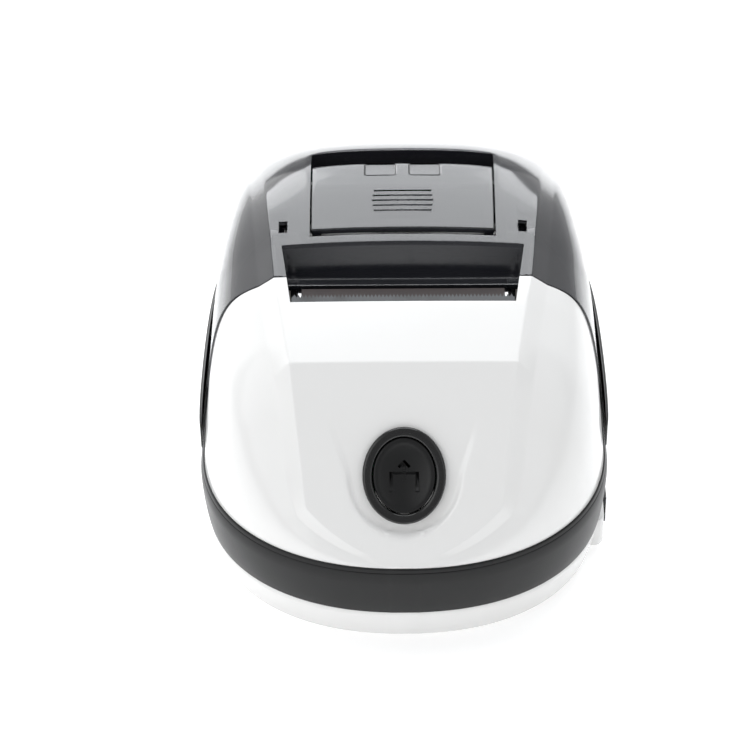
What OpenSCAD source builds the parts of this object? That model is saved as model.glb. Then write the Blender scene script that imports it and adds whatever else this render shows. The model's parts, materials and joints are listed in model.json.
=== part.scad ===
// Desktop direct-thermal label printer for rolls of labels up to 58 mm wide.
// Every piece is drawn where it sits in the closed printer. Inside the modules
// y runs back from the tip of the nose and z up from the table; bench() then
// puts the origin under the middle of the body.

/* [Body] */
// Width of the belt at its widest station
body_w = 115.4; // [113:0.2:121]
// Length from the nose to the rear wall
body_l = 146; // [144:1:152]
// Distance from the nose to the widest station
nose_l = 49; // [46:1:52]
// Height of the lower edge of the black belt
belt_low = 12.5; // [11.5:0.5:13.5]
// Height of the upper edge of the black belt
belt_top = 30.3; // [29.5:0.1:31.5]
// Height of the seam between the lid and the rear frame
seam_z = 40; // [39:0.5:41]
// Wall of the moulded shells
wall = 2; // [1.8:0.1:2.2]
// Gap left all round the lid
lid_gap = 0.3; // [0.3:0.05:0.5]
// Height that the rubber feet hold the base off the table
foot_h = 1; // [0.8:0.1:1.6]

/* [Front cover] */
// Distance from the nose to the break between the two front facets
break_y = 33; // [32:0.5:34]
// Height of that break
break_z = 77.3; // [76.5:0.1:78]
// Slope of the upper facet in degrees
facet_a = 25; // [24:0.5:26]
// Station of the parting plane between cover and lid
part_y = 56.3; // [56.2:0.1:57]
// Half width of the flat centre panel at the nose
crease_x = 24.8; // [24:0.2:26]
// Width of the chamfer beside the centre panel
crease_w = 4.3; // [3.6:0.1:5]

/* [Lid] */
// Height of the crown of the lid
crown_z = 97.7; // [97:0.1:99]
// Station of the crown
crown_y = 91; // [90:0.5:93]
// Distance from the rear wall to the rear edge of the lid
lid_back = 8; // [7:0.5:9]
// Station of the lip above the label outlet
lip_y = 65.9; // [65:0.1:66.5]
// Half width of the outlet at that lip
lip_x = 33.3; // [33:0.1:34]
// Distance from the rear wall to the axis of the lid hinge
hinge_back = 5; // [4.5:0.1:5.5]
// Height of the lid hinge
hinge_z = 42.4; // [42:0.1:43]
// Radius of the hinge pins
hinge_pin_r = 1.5; // [1.2:0.05:1.7]

/* [Opening lever] */
// Width of the lever panel
lever_w = 50.4; // [49:0.2:51]
// Station of its front edge
lever_y = 70; // [69.8:0.1:70.4]
// Length of the panel
lever_l = 23.7; // [22:0.1:25]
// Thickness of the panel
lever_t = 1.8; // [1.6:0.1:2.2]
// Station of the lever axle
axle_y = 72.3; // [72:0.1:72.6]
// Height of the lever axle
axle_z = 88.6; // [88.3:0.1:88.8]
// Radius of the lever axle
axle_r = 1.25; // [1:0.05:1.4]
// Depth of the finger well behind the lever
well_d = 7; // [6:0.5:8]
// Length of the finger well
well_l = 7.8; // [7:0.1:8.5]

/* [Printing mechanism] */
// Width of the label path
paper_w = 58; // [56:0.5:58]
// Station of the platen axis
platen_y = 62.3; // [62.2:0.1:62.6]
// Height of the platen axis
platen_z = 75.5; // [75:0.1:75.7]
// Radius of the rubber platen
platen_r = 5; // [4.8:0.05:5.1]
// Radius of the platen shaft
shaft_r = 1.5; // [1.3:0.05:1.6]
// Module of the gears
gear_m = 0.5; // [0.48:0.01:0.5]
// Thickness of the gears
gear_t = 3; // [2.5:0.1:3.2]
// Thickness of the steel side plates
plate_t = 1.2; // [1:0.1:1.4]
// Radius of the stepper motor
motor_r = 8.5; // [8:0.1:8.6]
// Thickness of the heat sink behind the print head
sink_t = 3; // [2.5:0.1:3.2]
// Pitch of the teeth on the tear bar
tooth_pitch = 1; // [0.8:0.05:1.25]
// Half width of the tear bar
tear_x = 30.4; // [30:0.1:30.5]
// Thickness of the tear bar
tear_t = 0.8; // [0.6:0.05:0.9]

/* [Roll bay] */
// Wall of the bay
bay_t = 1.6; // [1.4:0.1:1.8]
// Height of the underside of the bay at its lowest line
bay_low = 11.9; // [11:0.1:13]
// Room between the bay and the mechanism in front of it
bay_gap = 1.1; // [1:0.1:2]

/* [Feed button] */
// Width of the bezel
bezel_w = 22.7; // [22:0.1:24]
// Height of the bezel, along the slope
bezel_h = 26.7; // [26:0.1:28]
// Width of the ring that the bezel shows round the button
bezel_rim = 2.6; // [2.2:0.1:3]
// Height that the bezel stands proud
bezel_proud = 1; // [0.8:0.1:1.4]
// Travel of the button
button_travel = 1.2; // [1:0.1:1.5]
// Height of the button centre on the front
button_z = 51.6; // [50:0.2:53]

/* [Power switch] */
// Length of the rocker switch
rocker_l = 13; // [12:0.5:15]
// Height of the rocker switch
rocker_h = 8; // [7.5:0.1:8.4]
// Station of the switch
rocker_y = 54; // [53:0.5:56]
// Angle between ON and OFF in degrees
rocker_throw = 14; // [10:1:16]

/* [Hidden] */

white_abs = [0.93, 0.93, 0.92];
black_abs = [0.17, 0.17, 0.18];
smoke_pc = [0.36, 0.37, 0.40];
steel = [0.72, 0.73, 0.74];
nickel = [0.82, 0.81, 0.78];
rubber = [0.11, 0.11, 0.12];
board_green = [0.08, 0.34, 0.20];
acetal = [0.88, 0.86, 0.80];

fit = 0.05;           // running clearance of a pin in its bore, on the radius
slip = 0.3;           // clearance between bodies that pass each other
nose_pow = 2.2;       // exponent of the plan at the nose
rear_pow = 5;         // exponent of the plan at the rear corners
rear_taper = 0.0005;  // how fast the sides close in behind the widest station
rear_flat = 0.55;     // share of the rear that is straight
skirt = 1.2;          // how far the upper shells stand inside the belt
belt_bulge_z = 27;    // height where the belt is widest
tub_lean = 3.8;       // how far the base tucks in at its lower edge
lean_pow = 1.8;       // how late below the belt it does so
crown_round = 420;    // radius across the centre panel
crown_droop = 6.3;    // further fall of the panel's sides over the roll of labels
crease_drop = 3.3;    // height lost across the chamfer
round_pow = 4.8;      // how late across the panel that fall sets in
crease_rate = 0.185;  // how fast the centre panel widens up to the lid's front edge
crease_rear = 0.1;    // how fast it widens behind that edge
flank_in = 2;         // how far the flanks pull in over the roll
flank_low = 0.3;      // share of their height by which they round off there
fall_pow = 1.91;      // exponent of the lid's rear end in the side view
inner = 1.2 * wall;   // inset of an inner face from its outer face
lid_end = body_l - lid_back;
hinge_y = body_l - hinge_back;
mech_l = 18.8;        // length of the base plate of the mechanism
mech_y = [platen_y - mech_l, platen_y];
floor_z = foot_h + wall;
deck_z = seam_z - 2;  // top of the deck inside the rear frame
deck_t = 2;
front_slope = (break_z - belt_top) / (break_y - skirt);
front_a = atan(front_slope);

// ---------------------------------------------------------------- outer form

// Half width of the plan, inset by i, at station y
function half_w(y, i = 0) = y < nose_l ? nose_half(y, i) : rear_half(y, i);
function nose_half(y, i) = let (t = min(1, max(0, (nose_l - y) / (nose_l - i))))
    max((body_w / 2 - i) * pow(1 - pow(t, nose_pow), 1 / nose_pow), 4);
function rear_half(y, i) = let (t = min(1, (y - nose_l) / (body_l - i - nose_l)))
    (body_w / 2 - i - rear_taper * pow(y - nose_l, 2))
    * max(pow(1 - pow(t, rear_pow), 1 / rear_pow), rear_flat);

// Stations round the plan, from the nose to the rear wall
ring_n = 12;
function ring_y(i) = concat(
    [for (k = [0:ring_n - 1]) i + (nose_l - i) * (1 - cos(90 * k / ring_n))],
    [for (k = [0:ring_n]) nose_l + (body_l - i - nose_l) * sin(90 * k / ring_n)]);
function ring(z, i) = let (ys = ring_y(i), n = len(ys)) concat(
    [for (y = ys) [half_w(y, i), y, z]],
    [for (k = [1:n]) [-half_w(ys[n - k], i), ys[n - k], z]]);

// Inset of the belt and base at height z: widest at the belt, tucked in below
function tub_inset(z) = z < belt_bulge_z
    ? tub_lean * pow((belt_bulge_z - z) / (belt_bulge_z - foot_h), lean_pow)
    : (z - belt_bulge_z) * 0.2;

// Height of the outer form along its middle
facet_top = break_z + (part_y - break_y) * tan(facet_a);
function crown(y) = y <= break_y ? belt_top + (y - skirt) * front_slope
    : y <= part_y ? break_z + (y - break_y) * tan(facet_a)
    : y <= crown_y ? rise((y - part_y) / (crown_y - part_y))
    : fall(min(1, (y - crown_y) / (lid_end - crown_y)));
function rise(t) = (1 - 3 * t * t + 2 * t * t * t) * facet_top
    + (t - 2 * t * t + t * t * t) * (crown_y - part_y) * tan(facet_a)
    + (3 * t * t - 2 * t * t * t) * crown_z;
function fall(t) = seam_z + (crown_z - seam_z) * pow(1 - pow(t, fall_pow), 1 / fall_pow);
function steep(y) = (crown(y + 0.25) - crown(y - 0.25)) / 0.5;
function under(y, t) = crown(y) - t * sqrt(1 + pow(min(3, abs(steep(y))), 2));
function sag(x) = crown_round - sqrt(crown_round * crown_round - x * x);
// The panel is nearly flat across the tear bar and bows up towards the lip
function bow(y) = min(1, max(0.15, (y - edge_y) / (lip_y - edge_y)));
// Over the roll it rounds off: share of that at station y, and the whole fall at x
round_y = [crown_y - 12.5, crown_y + 4.5];
function rounding(y) = let (t = min(1, max(0, (y - round_y[0]) / (round_y[1] - round_y[0]))))
    t * t * (3 - 2 * t);
function dip(x, y) = bow(y) * sag(x)
    + crown_droop * rounding(y) * pow(min(1, abs(x) / crease(y, half_w(y))), round_pow);

// Right half of a cross-section: centre panel, chamfer, then a rounded flank
panel_n = 4;
flank_n = 11;
rim = 0.5;                                      // least height of a shell above its foot
function crease(y, b) = min(crease_x + crease_rate * min(y, part_y)
    + crease_rear * max(0, y - part_y), max(0.5 * b, b - 10));
function right_side(b, top, low, c, y) = let (
        h0 = max(rim, top - dip(c, y) - low),
        cw = min(crease_w, 0.25 * (b - c)),
        h = h0 - min(crease_drop, 0.25 * h0),
        w = b - c - cw,
        p0 = [c + cw, low + h],
        p1 = p0 + 0.6 * w * [cos(26), -sin(26) * min(1, h / 12)],
        g = rounding(y),
        p2 = [b - 0.064 * h - flank_in * g, low + (0.85 - flank_low * g) * h],
        p3 = [b, low])
    concat([for (k = [0:panel_n]) let (x = c * k / panel_n)
            [x, max(low + rim, top - min(dip(x, y), (top - low) / 2))]],
        [for (k = [0:flank_n]) let (t = k / flank_n, s = 1 - t)
            s * s * s * p0 + 3 * s * s * t * p1 + 3 * s * t * t * p2 + t * t * t * p3]);
function section(y, i, top, low) = let (b = half_w(y, i),
        r = right_side(b, top, low, crease(y, b), y), n = len(r))
    concat([for (k = [1:n - 1]) [-r[n - k][0], y, r[n - k][1]]],
        [for (p = r) [p[0], y, p[1]]]);

// Closed solid through a stack of rings, capped at both ends or closed on itself
module loft(rings, looped = false) {
    n = len(rings[0]);
    m = len(rings);
    last = looped ? m - 1 : m - 2;
    sides = [for (r = [0:last]) for (k = [0:n - 1])
        let (a = r * n + k, b = r * n + (k + 1) % n, s = (r + 1) % m,
            d = s * n + (k + 1) % n, e = s * n + k)
        for (f = [[a, e, d], [a, d, b]]) f];
    caps = looped ? [] : [[for (k = [0:n - 1]) k], [for (k = [1:n]) m * n - k]];
    polyhedron([for (r = rings) for (p = r) p], concat(sides, caps));
}

// Closed solid between two grids of points, such as the two faces of a shell
module skin(top, bottom) {
    n = len(top[0]);
    m = len(top);
    o = n * m;
    face = [for (r = [0:m - 2]) for (k = [0:n - 2])
        let (a = r * n + k, b = a + 1, d = b + n, e = a + n)
        for (q = [[a, e, d, b], [o + a, o + b, o + d, o + e]]) q];
    ends = [for (k = [0:n - 2]) let (e = (m - 1) * n + k)
        for (q = [[k, k + 1, o + k + 1, o + k], [e + 1, e, o + e, o + e + 1]]) q];
    edges = [for (r = [0:m - 2]) let (a = r * n, b = a + n - 1)
        for (q = [[a + n, a, o + a, o + a + n], [b, b + n, o + b + n, o + b]]) q];
    quads = concat(face, ends, edges);
    polyhedron(concat([for (r = top) for (p = r) p], [for (r = bottom) for (p = r) p]),
        [for (q = quads) for (f = [[q[0], q[1], q[2]], [q[0], q[2], q[3]]]) f]);
}

// Eight-cornered block from its lower and upper outlines
module wedge(low, high) loft([low, high]);

// Puts the origin under the middle of the body
module bench() translate([0, -body_l / 2, 0]) children();
module both_sides() {
    children();
    mirror([1, 0, 0]) children();
}
// Turns a side-view outline (y, z) into a plate from x0 to x1
module plate(x0, x1) translate([x0, 0, 0]) rotate([90, 0, 90]) linear_extrude(x1 - x0) children();
// A rod along x from x0 to x1
module rod(y, z, r, x0, x1, facets = 48)
    translate([x0, y, z]) rotate([0, 90, 0]) cylinder(r = r, h = x1 - x0, $fn = facets);
module post(x, y, z0, z1, r) translate([x, y, z0]) cylinder(r = r, h = z1 - z0, $fn = 32);
module oval(w, h, facets = 56)
    polygon([for (k = [0:facets - 1]) [w / 2 * cos(360 * k / facets), h / 2 * sin(360 * k / facets)]]);

// ------------------------------------------------------------- lower casing

post_r = 3.2;
screw_r = 1.25;
// screw posts of the casing, x and y
case_posts = [[half_w(nose_l - 25) - 14, nose_l - 25], [half_w(body_l - 24) - 10.9, body_l - 24]];
pillar_x = 27;                                  // pillars under the mechanism
pillar_y = mech_y[0] + 3.5;
board_z = floor_z + 4;
board_t = 1.6;
board_w = body_w - 49.4;
board_l = 25.5;
board_y = [nose_l - 6.5 - board_l, nose_l - 6.5];
io_y = [body_l - 29, body_l - 7.5];             // interface board behind the bay
io_z = floor_z + 9;
io_w = body_w - 45.4;
boss_x = body_w / 2 - 0.7;                      // outer face of the switch boss
boss_l = rocker_l + 21;
boss_z = [foot_h + 1.2, belt_low];
rocker_z = (boss_z[0] + boss_z[1]) / 2;
foot_r = 5;
feet = [[24, nose_l - 28], [36, body_l - 35]];
usb = [12, 16, 10.8];
jack = [9, 13.5, 11];
usb_x = 17 - io_w / 2;
jack_x = io_w / 2 - 19;
port_z = io_z + board_t;
port_in = 2.4;                                  // the sockets' faces stand this far inside the rear
wall_end = body_l - inner;                      // inner face of the rear wall
vent_w = 2.4;                                   // ventilation slots and their pitch
vent_l = 26;
vent_step = 6;

module four(points) both_sides() for (p = points) translate([p[0], p[1], 0]) children();

module lower_base() color(white_abs) bench() {
    lows = [foot_h, foot_h + 0.7, foot_h + 2.6, foot_h + 6, belt_low];
    difference() {
        union() {
            loft(concat([for (z = lows) ring(z, tub_inset(z) + (z == foot_h ? 0.8 : 0))],
                [for (z = [belt_low, floor_z + 4, floor_z]) ring(z, tub_inset(z) + inner)]));
            // housing boss of the power switch
            translate([boss_x - 9, rocker_y - boss_l / 2, boss_z[0]])
                rounded_pad(9, boss_l, boss_z[1] - boss_z[0], 3);
            // standoffs of both boards, pillars of the mechanism
            four([[board_w / 2 - 4, board_y[0] + 4], [board_w / 2 - 4, board_y[1] - 4]])
                post(0, 0, floor_z, board_z, 2.6);
            four([[io_w / 2 - 4, io_y[0] + 4]]) post(0, 0, floor_z, io_z, 2.6);
            four([[io_w / 2 - 4, io_y[1] - 4]]) post(0, 0, floor_z, io_z, 2.6);
            four([[pillar_x, pillar_y]]) post(0, 0, floor_z, deck_z, post_r);
            four(case_posts) post(0, 0, floor_z, floor_z + 4, post_r + 1.6);
        }
        // pocket and panel cut-out of the switch
        translate([boss_x - 12, rocker_y - rocker_l / 2 - slip, rocker_z - rocker_h / 2 - slip])
            cube([20, rocker_l + 2 * slip, rocker_h + 2 * slip]);
        four(case_posts) {
            post(0, 0, -1, 20, screw_r + 0.4);
            post(0, 0, -1, floor_z + 1.4, 2.8);
        }
        four([[board_w / 2 - 4, board_y[0] + 4], [board_w / 2 - 4, board_y[1] - 4]])
            post(0, 0, floor_z + 0.6, 20, screw_r + fit);
        four([[io_w / 2 - 4, io_y[0] + 4], [io_w / 2 - 4, io_y[1] - 4]])
            post(0, 0, floor_z + 0.6, 20, screw_r + fit);
        four([[pillar_x, pillar_y]]) post(0, 0, deck_z - 8, deck_z + 1, screw_r + fit);
        four(feet) post(0, 0, -1, foot_h + 0.8, foot_r + fit);
        // ventilation slots under the main board
        for (k = [-3:3])
            translate([k * vent_step - vent_w / 2, mech_y[0] + 4.5, -1]) cube([vent_w, vent_l, 8]);
    }
}

// Block with rounded outer edges along y, its flat back at x = 0
module rounded_pad(depth, length, height, r) intersection() {
    linear_extrude(height) polygon(concat(
        [[0, 0]], [for (a = [-90:15:0]) [depth - r + r * cos(a), r + r * sin(a)]],
        [for (a = [0:15:90]) [depth - r + r * cos(a), length - r + r * sin(a)]], [[0, length]]));
    translate([0, length, 0]) rotate([90, 0, 0]) linear_extrude(length) polygon(concat(
        [[0, 0]], [for (a = [-90:15:0]) [depth - r + r * cos(a), r + r * sin(a)]],
        [[depth, height], [0, height]]));
}

module belt() color(black_abs) bench() difference() {
    outs = [belt_low, 17, 22, belt_bulge_z, belt_top];
    loft(concat([for (z = outs) ring(z, tub_inset(z))],
        [for (z = [belt_top, belt_low]) ring(z, tub_inset(z) + inner)]), looped = true);
    // windows of the sockets in the rear wall
    translate([usb_x - usb[0] / 2 - slip, wall_end - 4, port_z - slip])
        cube([usb[0] + 2 * slip, 12, usb[2] + 2 * slip]);
    translate([jack_x - jack[0] / 2 - slip, wall_end - 4, port_z - slip])
        cube([jack[0] + 2 * slip, 12, jack[2] + 2 * slip]);
}

module rear_frame() color(black_abs) bench() difference() {
    union() {
        difference() {
            loft(concat([ring(belt_top, skirt), ring(seam_z, skirt + 0.6)],
                [ring(seam_z, skirt + 0.6 + inner), ring(belt_top, skirt + inner)]), looped = true);
            translate([-body_w, -1, 0]) cube([2 * body_w, part_y + lid_gap + 1, crown_z]);
        }
        // deck with the opening for the roll bay
        translate([0, 0, deck_z - deck_t]) linear_extrude(deck_t) difference() {
            polygon([for (p = ring(0, skirt + inner - 0.3)) [p[0], p[1]]]);
            translate([-body_w, -1]) square([2 * body_w, part_y + lid_gap + 1]);
            translate([-bay_half - bay_t - slip, part_y - 1])
                square([2 * (bay_half + bay_t + slip), bay_rim_y[1] + slip - part_y + 1]);
        }
        // strip that joins the deck in front of the bay and carries the mechanism
        translate([-bay_half - bay_t - 1, part_y + lid_gap, deck_z - deck_t])
            cube([2 * (bay_half + bay_t + 1), mech_y[1] - part_y - lid_gap, deck_t]);
        four([case_posts[1]]) post(0, 0, floor_z + 4, deck_z, post_r);
        hinge_ears();
    }
    four([case_posts[1]]) post(0, 0, floor_z, floor_z + 18, screw_r + fit);
    rod(hinge_y, hinge_z, hinge_pin_r, -body_w / 2, body_w / 2);
    // room for the lid's knuckles
    both_sides() rod(hinge_y, hinge_z, knuckle_r + slip, knuckle_x - slip,
        knuckle_x + knuckle_l + slip);
}

// Knuckles of the hinge: the frame's two ears stand outside the lid's knuckles
knuckle_r = 2.6;
knuckle_x = body_w / 2 - 27.7;                  // where the lid's knuckle starts
knuckle_l = 9;
ear_l = 6;
module knuckle(x0, x1, foot) plate(x0, x1) {
    translate([hinge_y, hinge_z]) circle(r = knuckle_r, $fn = 40);
    polygon(foot);
}
module hinge_ears() both_sides()
    knuckle(knuckle_x + knuckle_l + slip, knuckle_x + knuckle_l + slip + ear_l,
        [[hinge_y - knuckle_r, deck_z - 1], [hinge_y + knuckle_r, deck_z - 1],
        [hinge_y + knuckle_r, hinge_z], [hinge_y - knuckle_r, hinge_z]]);

module hinge_pins() color(steel) bench() both_sides()
    rod(hinge_y, hinge_z, hinge_pin_r - fit, knuckle_x + 0.5, knuckle_x + knuckle_l + slip + ear_l);

// Gloss pads along both sides, over the seam
trim_y = [nose_l - 3, body_l - 31];
trim_z = [seam_z - 9, seam_z + 3.6];
trim_out = 0.1;                                 // how far they stand outside the belt
function swell(t) = pow(max(0.02, 1 - pow(abs(2 * t - 1), 5)), 0.5);
module side_trims() color(black_abs) bench() both_sides() {
    n = 16;
    loft([for (k = [0:n]) let (t = k / n, y = trim_y[0] + (trim_y[1] - trim_y[0]) * t, s = swell(t),
            x0 = half_w(y) - skirt + 0.35, x1 = half_w(y) + trim_out, m = (trim_z[0] + trim_z[1]) / 2,
            h = (trim_z[1] - trim_z[0]) / 2 * (0.55 + 0.45 * s), w = (x1 - x0) * (0.3 + 0.7 * s),
            d = x0 + w, e = x0 + 0.35 * w, f = x0 + 0.8 * w)
        [[x0, y, m - h], [x0, y, m + h], [e, y, m + h], [f, y, m + h - 0.9], [d, y, m + h * 0.4],
            [d, y, m - h * 0.4], [f, y, m - h + 0.9], [e, y, m - h]]]);
}

module rubber_feet() color(rubber) bench() four(feet) {
    post(0, 0, 0.3, foot_h + 0.8, foot_r);
    cylinder(r1 = foot_r - 0.3, r2 = foot_r, h = 0.3, $fn = 48);
}

module screw(z0, z1, head = 2.5, head_h = 1.2) difference() {
    union() {
        post(0, 0, z0, z1, screw_r);
        post(0, 0, z0 - head_h, z0, head);
    }
    for (a = [0, 90]) rotate([0, 0, a])
        translate([-1.4, -0.25, z0 - head_h - 0.1]) cube([2.8, 0.5, 0.7]);
}
module case_screws() color(steel) bench() four(case_posts)
    screw(floor_z + 1.4, floor_z + 15);

// ---------------------------------------------------------------- front cover

button_y = skirt + (button_z - belt_top) / front_slope;
body_in = bezel_rim - 1.1;                      // inset of the bezel's neck from its flange
module on_slope() translate([0, button_y, button_z]) rotate([front_a, 0, 0]) children();
module on_facet(y) translate([0, y, crown(y)]) rotate([facet_a, 0, 0]) children();

cover_ys = concat([for (k = [0:9]) skirt + 0.4 + (break_y - skirt - 0.4) * pow(k / 10, 1.5)],
    [for (k = [0:4]) break_y + (part_y - break_y) * k / 4]);
function cover_rows(i, t) = let (y0 = skirt + i + 0.4, n = len(cover_ys))
    [for (k = [0:n - 1]) let (
            y = y0 + (cover_ys[k] - cover_ys[0]) * (part_y - y0) / (part_y - cover_ys[0]))
        section(y, skirt + i, k == 0 ? belt_top : max(belt_top, under(y, t)), belt_top)];
tear_y = 51.6;                                  // tips of the teeth
edge_y = 49.3;                                  // edge of the cover below them
tear_step = 1;                                  // the bar lies this far below the surface
module front_cover() color(white_abs) bench() {
    difference() {
        union() {
            skin(cover_rows(0, 0), cover_rows(inner, wall));
            intersection() {
                under_cover();
                four([case_posts[0]]) post(0, 0, floor_z + 4, break_z, post_r);
            }
            // bosses of the button board
            for (s = [-1, 1]) on_slope() translate([s * btn_x, 0, -btn_board])
                cylinder(r = 2.2, h = btn_board - wall + 0.5, $fn = 24);
        }
        // outlet notch, seat of the tear bar
        translate([-tear_x - slip, edge_y, 60]) cube([2 * tear_x + 2 * slip, 20, 50]);
        on_facet(edge_y) translate([-tear_x - 0.1, -9, -tear_step - 6])
            cube([2 * tear_x + 0.2, 20, 6]);
        // opening of the feed button
        on_slope() translate([0, 0, -12]) linear_extrude(24)
            oval(bezel_w - 2 * body_in + 0.2, bezel_h - 2 * body_in + 0.2);
        four([case_posts[0]]) post(0, 0, 0, floor_z + 18, screw_r + fit);
        for (s = [-1, 1]) on_slope() translate([s * btn_x, 0, -btn_board - 1])
            cylinder(r = 0.9, h = 6, $fn = 24);
    }
}
// Everything below the middle of the cover's wall, to trim what hangs from it
module under_cover() {
    rows = cover_rows(inner / 2, wall / 2);
    skin(rows, [for (r = rows) [for (p = r) [p[0], p[1], 0]]]);
}

// Black oval bezel, button and the switch behind it
btn_board = 12.6;                               // depth of the button board
btn_x = 14.6;                                   // its screws, from the middle
btn_size = [2 * btn_x + 8.8, 12, 1.2];
key_size = [6, 6, 3.2];                         // body of the switch on it
module button_bezel() color(black_abs) bench() on_slope() difference() {
    union() {
        linear_extrude(bezel_proud * 0.5) oval(bezel_w, bezel_h);
        translate([0, 0, bezel_proud * 0.5]) linear_extrude(bezel_proud * 0.5)
            oval(bezel_w - 0.9, bezel_h - 0.9);
        translate([0, 0, -wall - 0.6]) linear_extrude(wall + 0.7)
            oval(bezel_w - 2 * body_in, bezel_h - 2 * body_in);
    }
    translate([0, 0, -wall - 2]) linear_extrude(wall + 5)
        oval(bezel_w - 2 * bezel_rim, bezel_h - 2 * bezel_rim);
}
button_top = bezel_proud - 0.5;
module feed_button() color(black_abs) bench() on_slope() difference() {
    w = bezel_w - 2 * bezel_rim - 2 * slip;
    h = bezel_h - 2 * bezel_rim - 2 * slip;
    union() {
        translate([0, 0, -wall - 1]) linear_extrude(button_top + wall + 1) oval(w, h);
        translate([0, 0, -wall - 2.2]) linear_extrude(1.3) oval(w + 2.6, h + 2.6);
        translate([0, 0, -btn_board + 4.2 + button_travel])
            cylinder(r = 2.2, h = btn_board - 6 - button_travel, $fn = 32);
    }
    // finger dish
    dish_r = w / 2 - 1.2;
    dish_d = 0.9;
    ball = (dish_r * dish_r + dish_d * dish_d) / (2 * dish_d);
    translate([0, 0, button_top - dish_d + ball]) sphere(r = ball, $fn = 90);
    // feed sign: a sheet that leaves a tray by an arrow
    translate([0, 0, -0.9]) linear_extrude(3) {
        for (u = [-1, 1]) translate([u * 3.52, -1.8]) square([0.95, 5.6], center = true);
        translate([0, 0.62]) square([7, 0.75], center = true);
        translate([0, 0.9]) square([0.84, 4.6], center = true);
        polygon([[-1.8, 2.2], [0, 4.4], [1.8, 2.2], [1.1, 1.8], [0, 3.2], [-1.1, 1.8]]);
    }
}
module button_board() color(board_green) bench() on_slope() difference() {
    translate([-btn_size[0] / 2, -btn_size[1] / 2, -btn_board - btn_size[2]]) cube(btn_size);
    for (s = [-1, 1]) translate([s * btn_x, 0, -btn_board - 2]) cylinder(r = 1.1, h = 4, $fn = 24);
}
module tact_switch() color(steel) bench() on_slope() {
    translate([-key_size[0] / 2, -key_size[1] / 2, -btn_board]) cube(key_size);
    translate([0, 0, key_size[2] - btn_board]) cylinder(r = 1.7, h = 0.7, $fn = 32);
}

// ----------------------------------------------------------- power and ports

module switch_body() color(black_abs) bench() difference() {
    union() {
        translate([boss_x, rocker_y - rocker_l / 2 - 1, rocker_z - rocker_h / 2 - 0.7])
            cube([1, rocker_l + 2, rocker_h + 1.4]);
        translate([boss_x - 11, rocker_y - rocker_l / 2, rocker_z - rocker_h / 2])
            cube([11.5, rocker_l, rocker_h]);
    }
    translate([boss_x - 4.5, rocker_y - rocker_l / 2 + 0.9, rocker_z - rocker_h / 2 + 0.9])
        cube([10, rocker_l - 1.8, rocker_h - 1.8]);
    translate([rocker_pivot, rocker_y, rocker_z - rocker_h])
        cylinder(r = 0.8 + fit, h = 2 * rocker_h, $fn = 32);
}
rocker_pivot = boss_x - 2.2;
module power_rocker() color(rubber) bench()
    translate([rocker_pivot, rocker_y, rocker_z]) rotate([0, 0, -rocker_throw / 2]) {
        l = rocker_l - 3;
        h = rocker_h - 2.4;
        translate([0, 0, -h / 2]) linear_extrude(h) polygon([[-1.6, -1.8], [-1.6, 1.8],
            [1.2, l / 2], [2.9, l / 2], [2.3, 0], [2.9, -l / 2], [1.2, -l / 2]]);
        translate([0, 0, -rocker_h / 2 + 0.1]) cylinder(r = 0.8, h = rocker_h - 0.2, $fn = 32);
    }

module interface_board() color(board_green) bench() difference() {
    translate([-io_w / 2, io_y[0], io_z]) cube([io_w, io_y[1] - io_y[0], board_t]);
    four([[io_w / 2 - 4, io_y[0] + 4], [io_w / 2 - 4, io_y[1] - 4]])
        post(0, 0, io_z - 1, io_z + 4, screw_r + 0.2);
}
module usb_socket() color(nickel) bench()
    translate([usb_x - usb[0] / 2, body_l - port_in - usb[1], port_z]) difference() {
        cube(usb);
        translate([1.4, usb[1] - 9, 1.4]) linear_extrude(usb[2] - 2.8) square([usb[0] - 2.8, 10]);
    }
module power_jack() color(rubber) bench()
    translate([jack_x, body_l - port_in, port_z + jack[2] / 2]) rotate([90, 0, 0]) {
        difference() {
            translate([-jack[0] / 2, -jack[2] / 2, 0]) cube([jack[0], jack[2], jack[1]]);
            translate([0, 0, -1]) cylinder(r = 3.2, h = 10, $fn = 48);
        }
        cylinder(r = 1, h = 9.5, $fn = 32);
    }

module main_board() color(board_green) bench() difference() {
    translate([-board_w / 2, board_y[0], board_z]) cube([board_w, board_y[1] - board_y[0], board_t]);
    four([[board_w / 2 - 4, board_y[0] + 4], [board_w / 2 - 4, board_y[1] - 4]])
        post(0, 0, board_z - 1, board_z + 4, screw_r + 0.2);
}
// Processor, memory, driver, two capacitors and the header of the flat cable
cpu = 0.55 * board_l;
memory = [0.12 * board_w, 0.39 * board_l, 1.1];
driver = [0.14 * board_w, 0.27 * board_l, 3];
header = [0.27 * board_w, 0.18 * board_l, 3.2];
module main_chips() color(rubber) bench() translate([0, board_y[0] + 0.12 * board_l, board_z + board_t]) {
    translate([-cpu / 2, 0, 0]) cube([cpu, cpu, 1.4]);
    translate([-cpu / 2 - memory[0] - 4, 0, 0]) cube(memory);
    translate([cpu / 2 + 3, 0.1 * board_l, 0]) cube(driver);
    for (k = [0, 1]) translate([-cpu / 2 - 1 - 7.5 * k, cpu + 3.5, 0])
        cylinder(r = 3, h = 8, $fn = 32);
    translate([2, 0.65 * board_l, 0]) cube(header);
}
module board_screws() color(steel) bench() {
    for (p = [[board_w / 2 - 4, board_y[0] + 4, board_z], [board_w / 2 - 4, board_y[1] - 4, board_z],
            [io_w / 2 - 4, io_y[0] + 4, io_z], [io_w / 2 - 4, io_y[1] - 4, io_z]])
        both_sides() translate([p[0], p[1], p[2] + board_t]) mirror([0, 0, 1]) screw(0, 4.6, 2.2, 1);
    both_sides() translate([pillar_x, pillar_y, deck_z + plate_t]) mirror([0, 0, 1]) screw(0, 7, 2.4, 1.2);
}

// ------------------------------------------------------------------- roll bay

bay_half = paper_w / 2 + 0.8;
bay_front = mech_y[1] + bay_gap;
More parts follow.
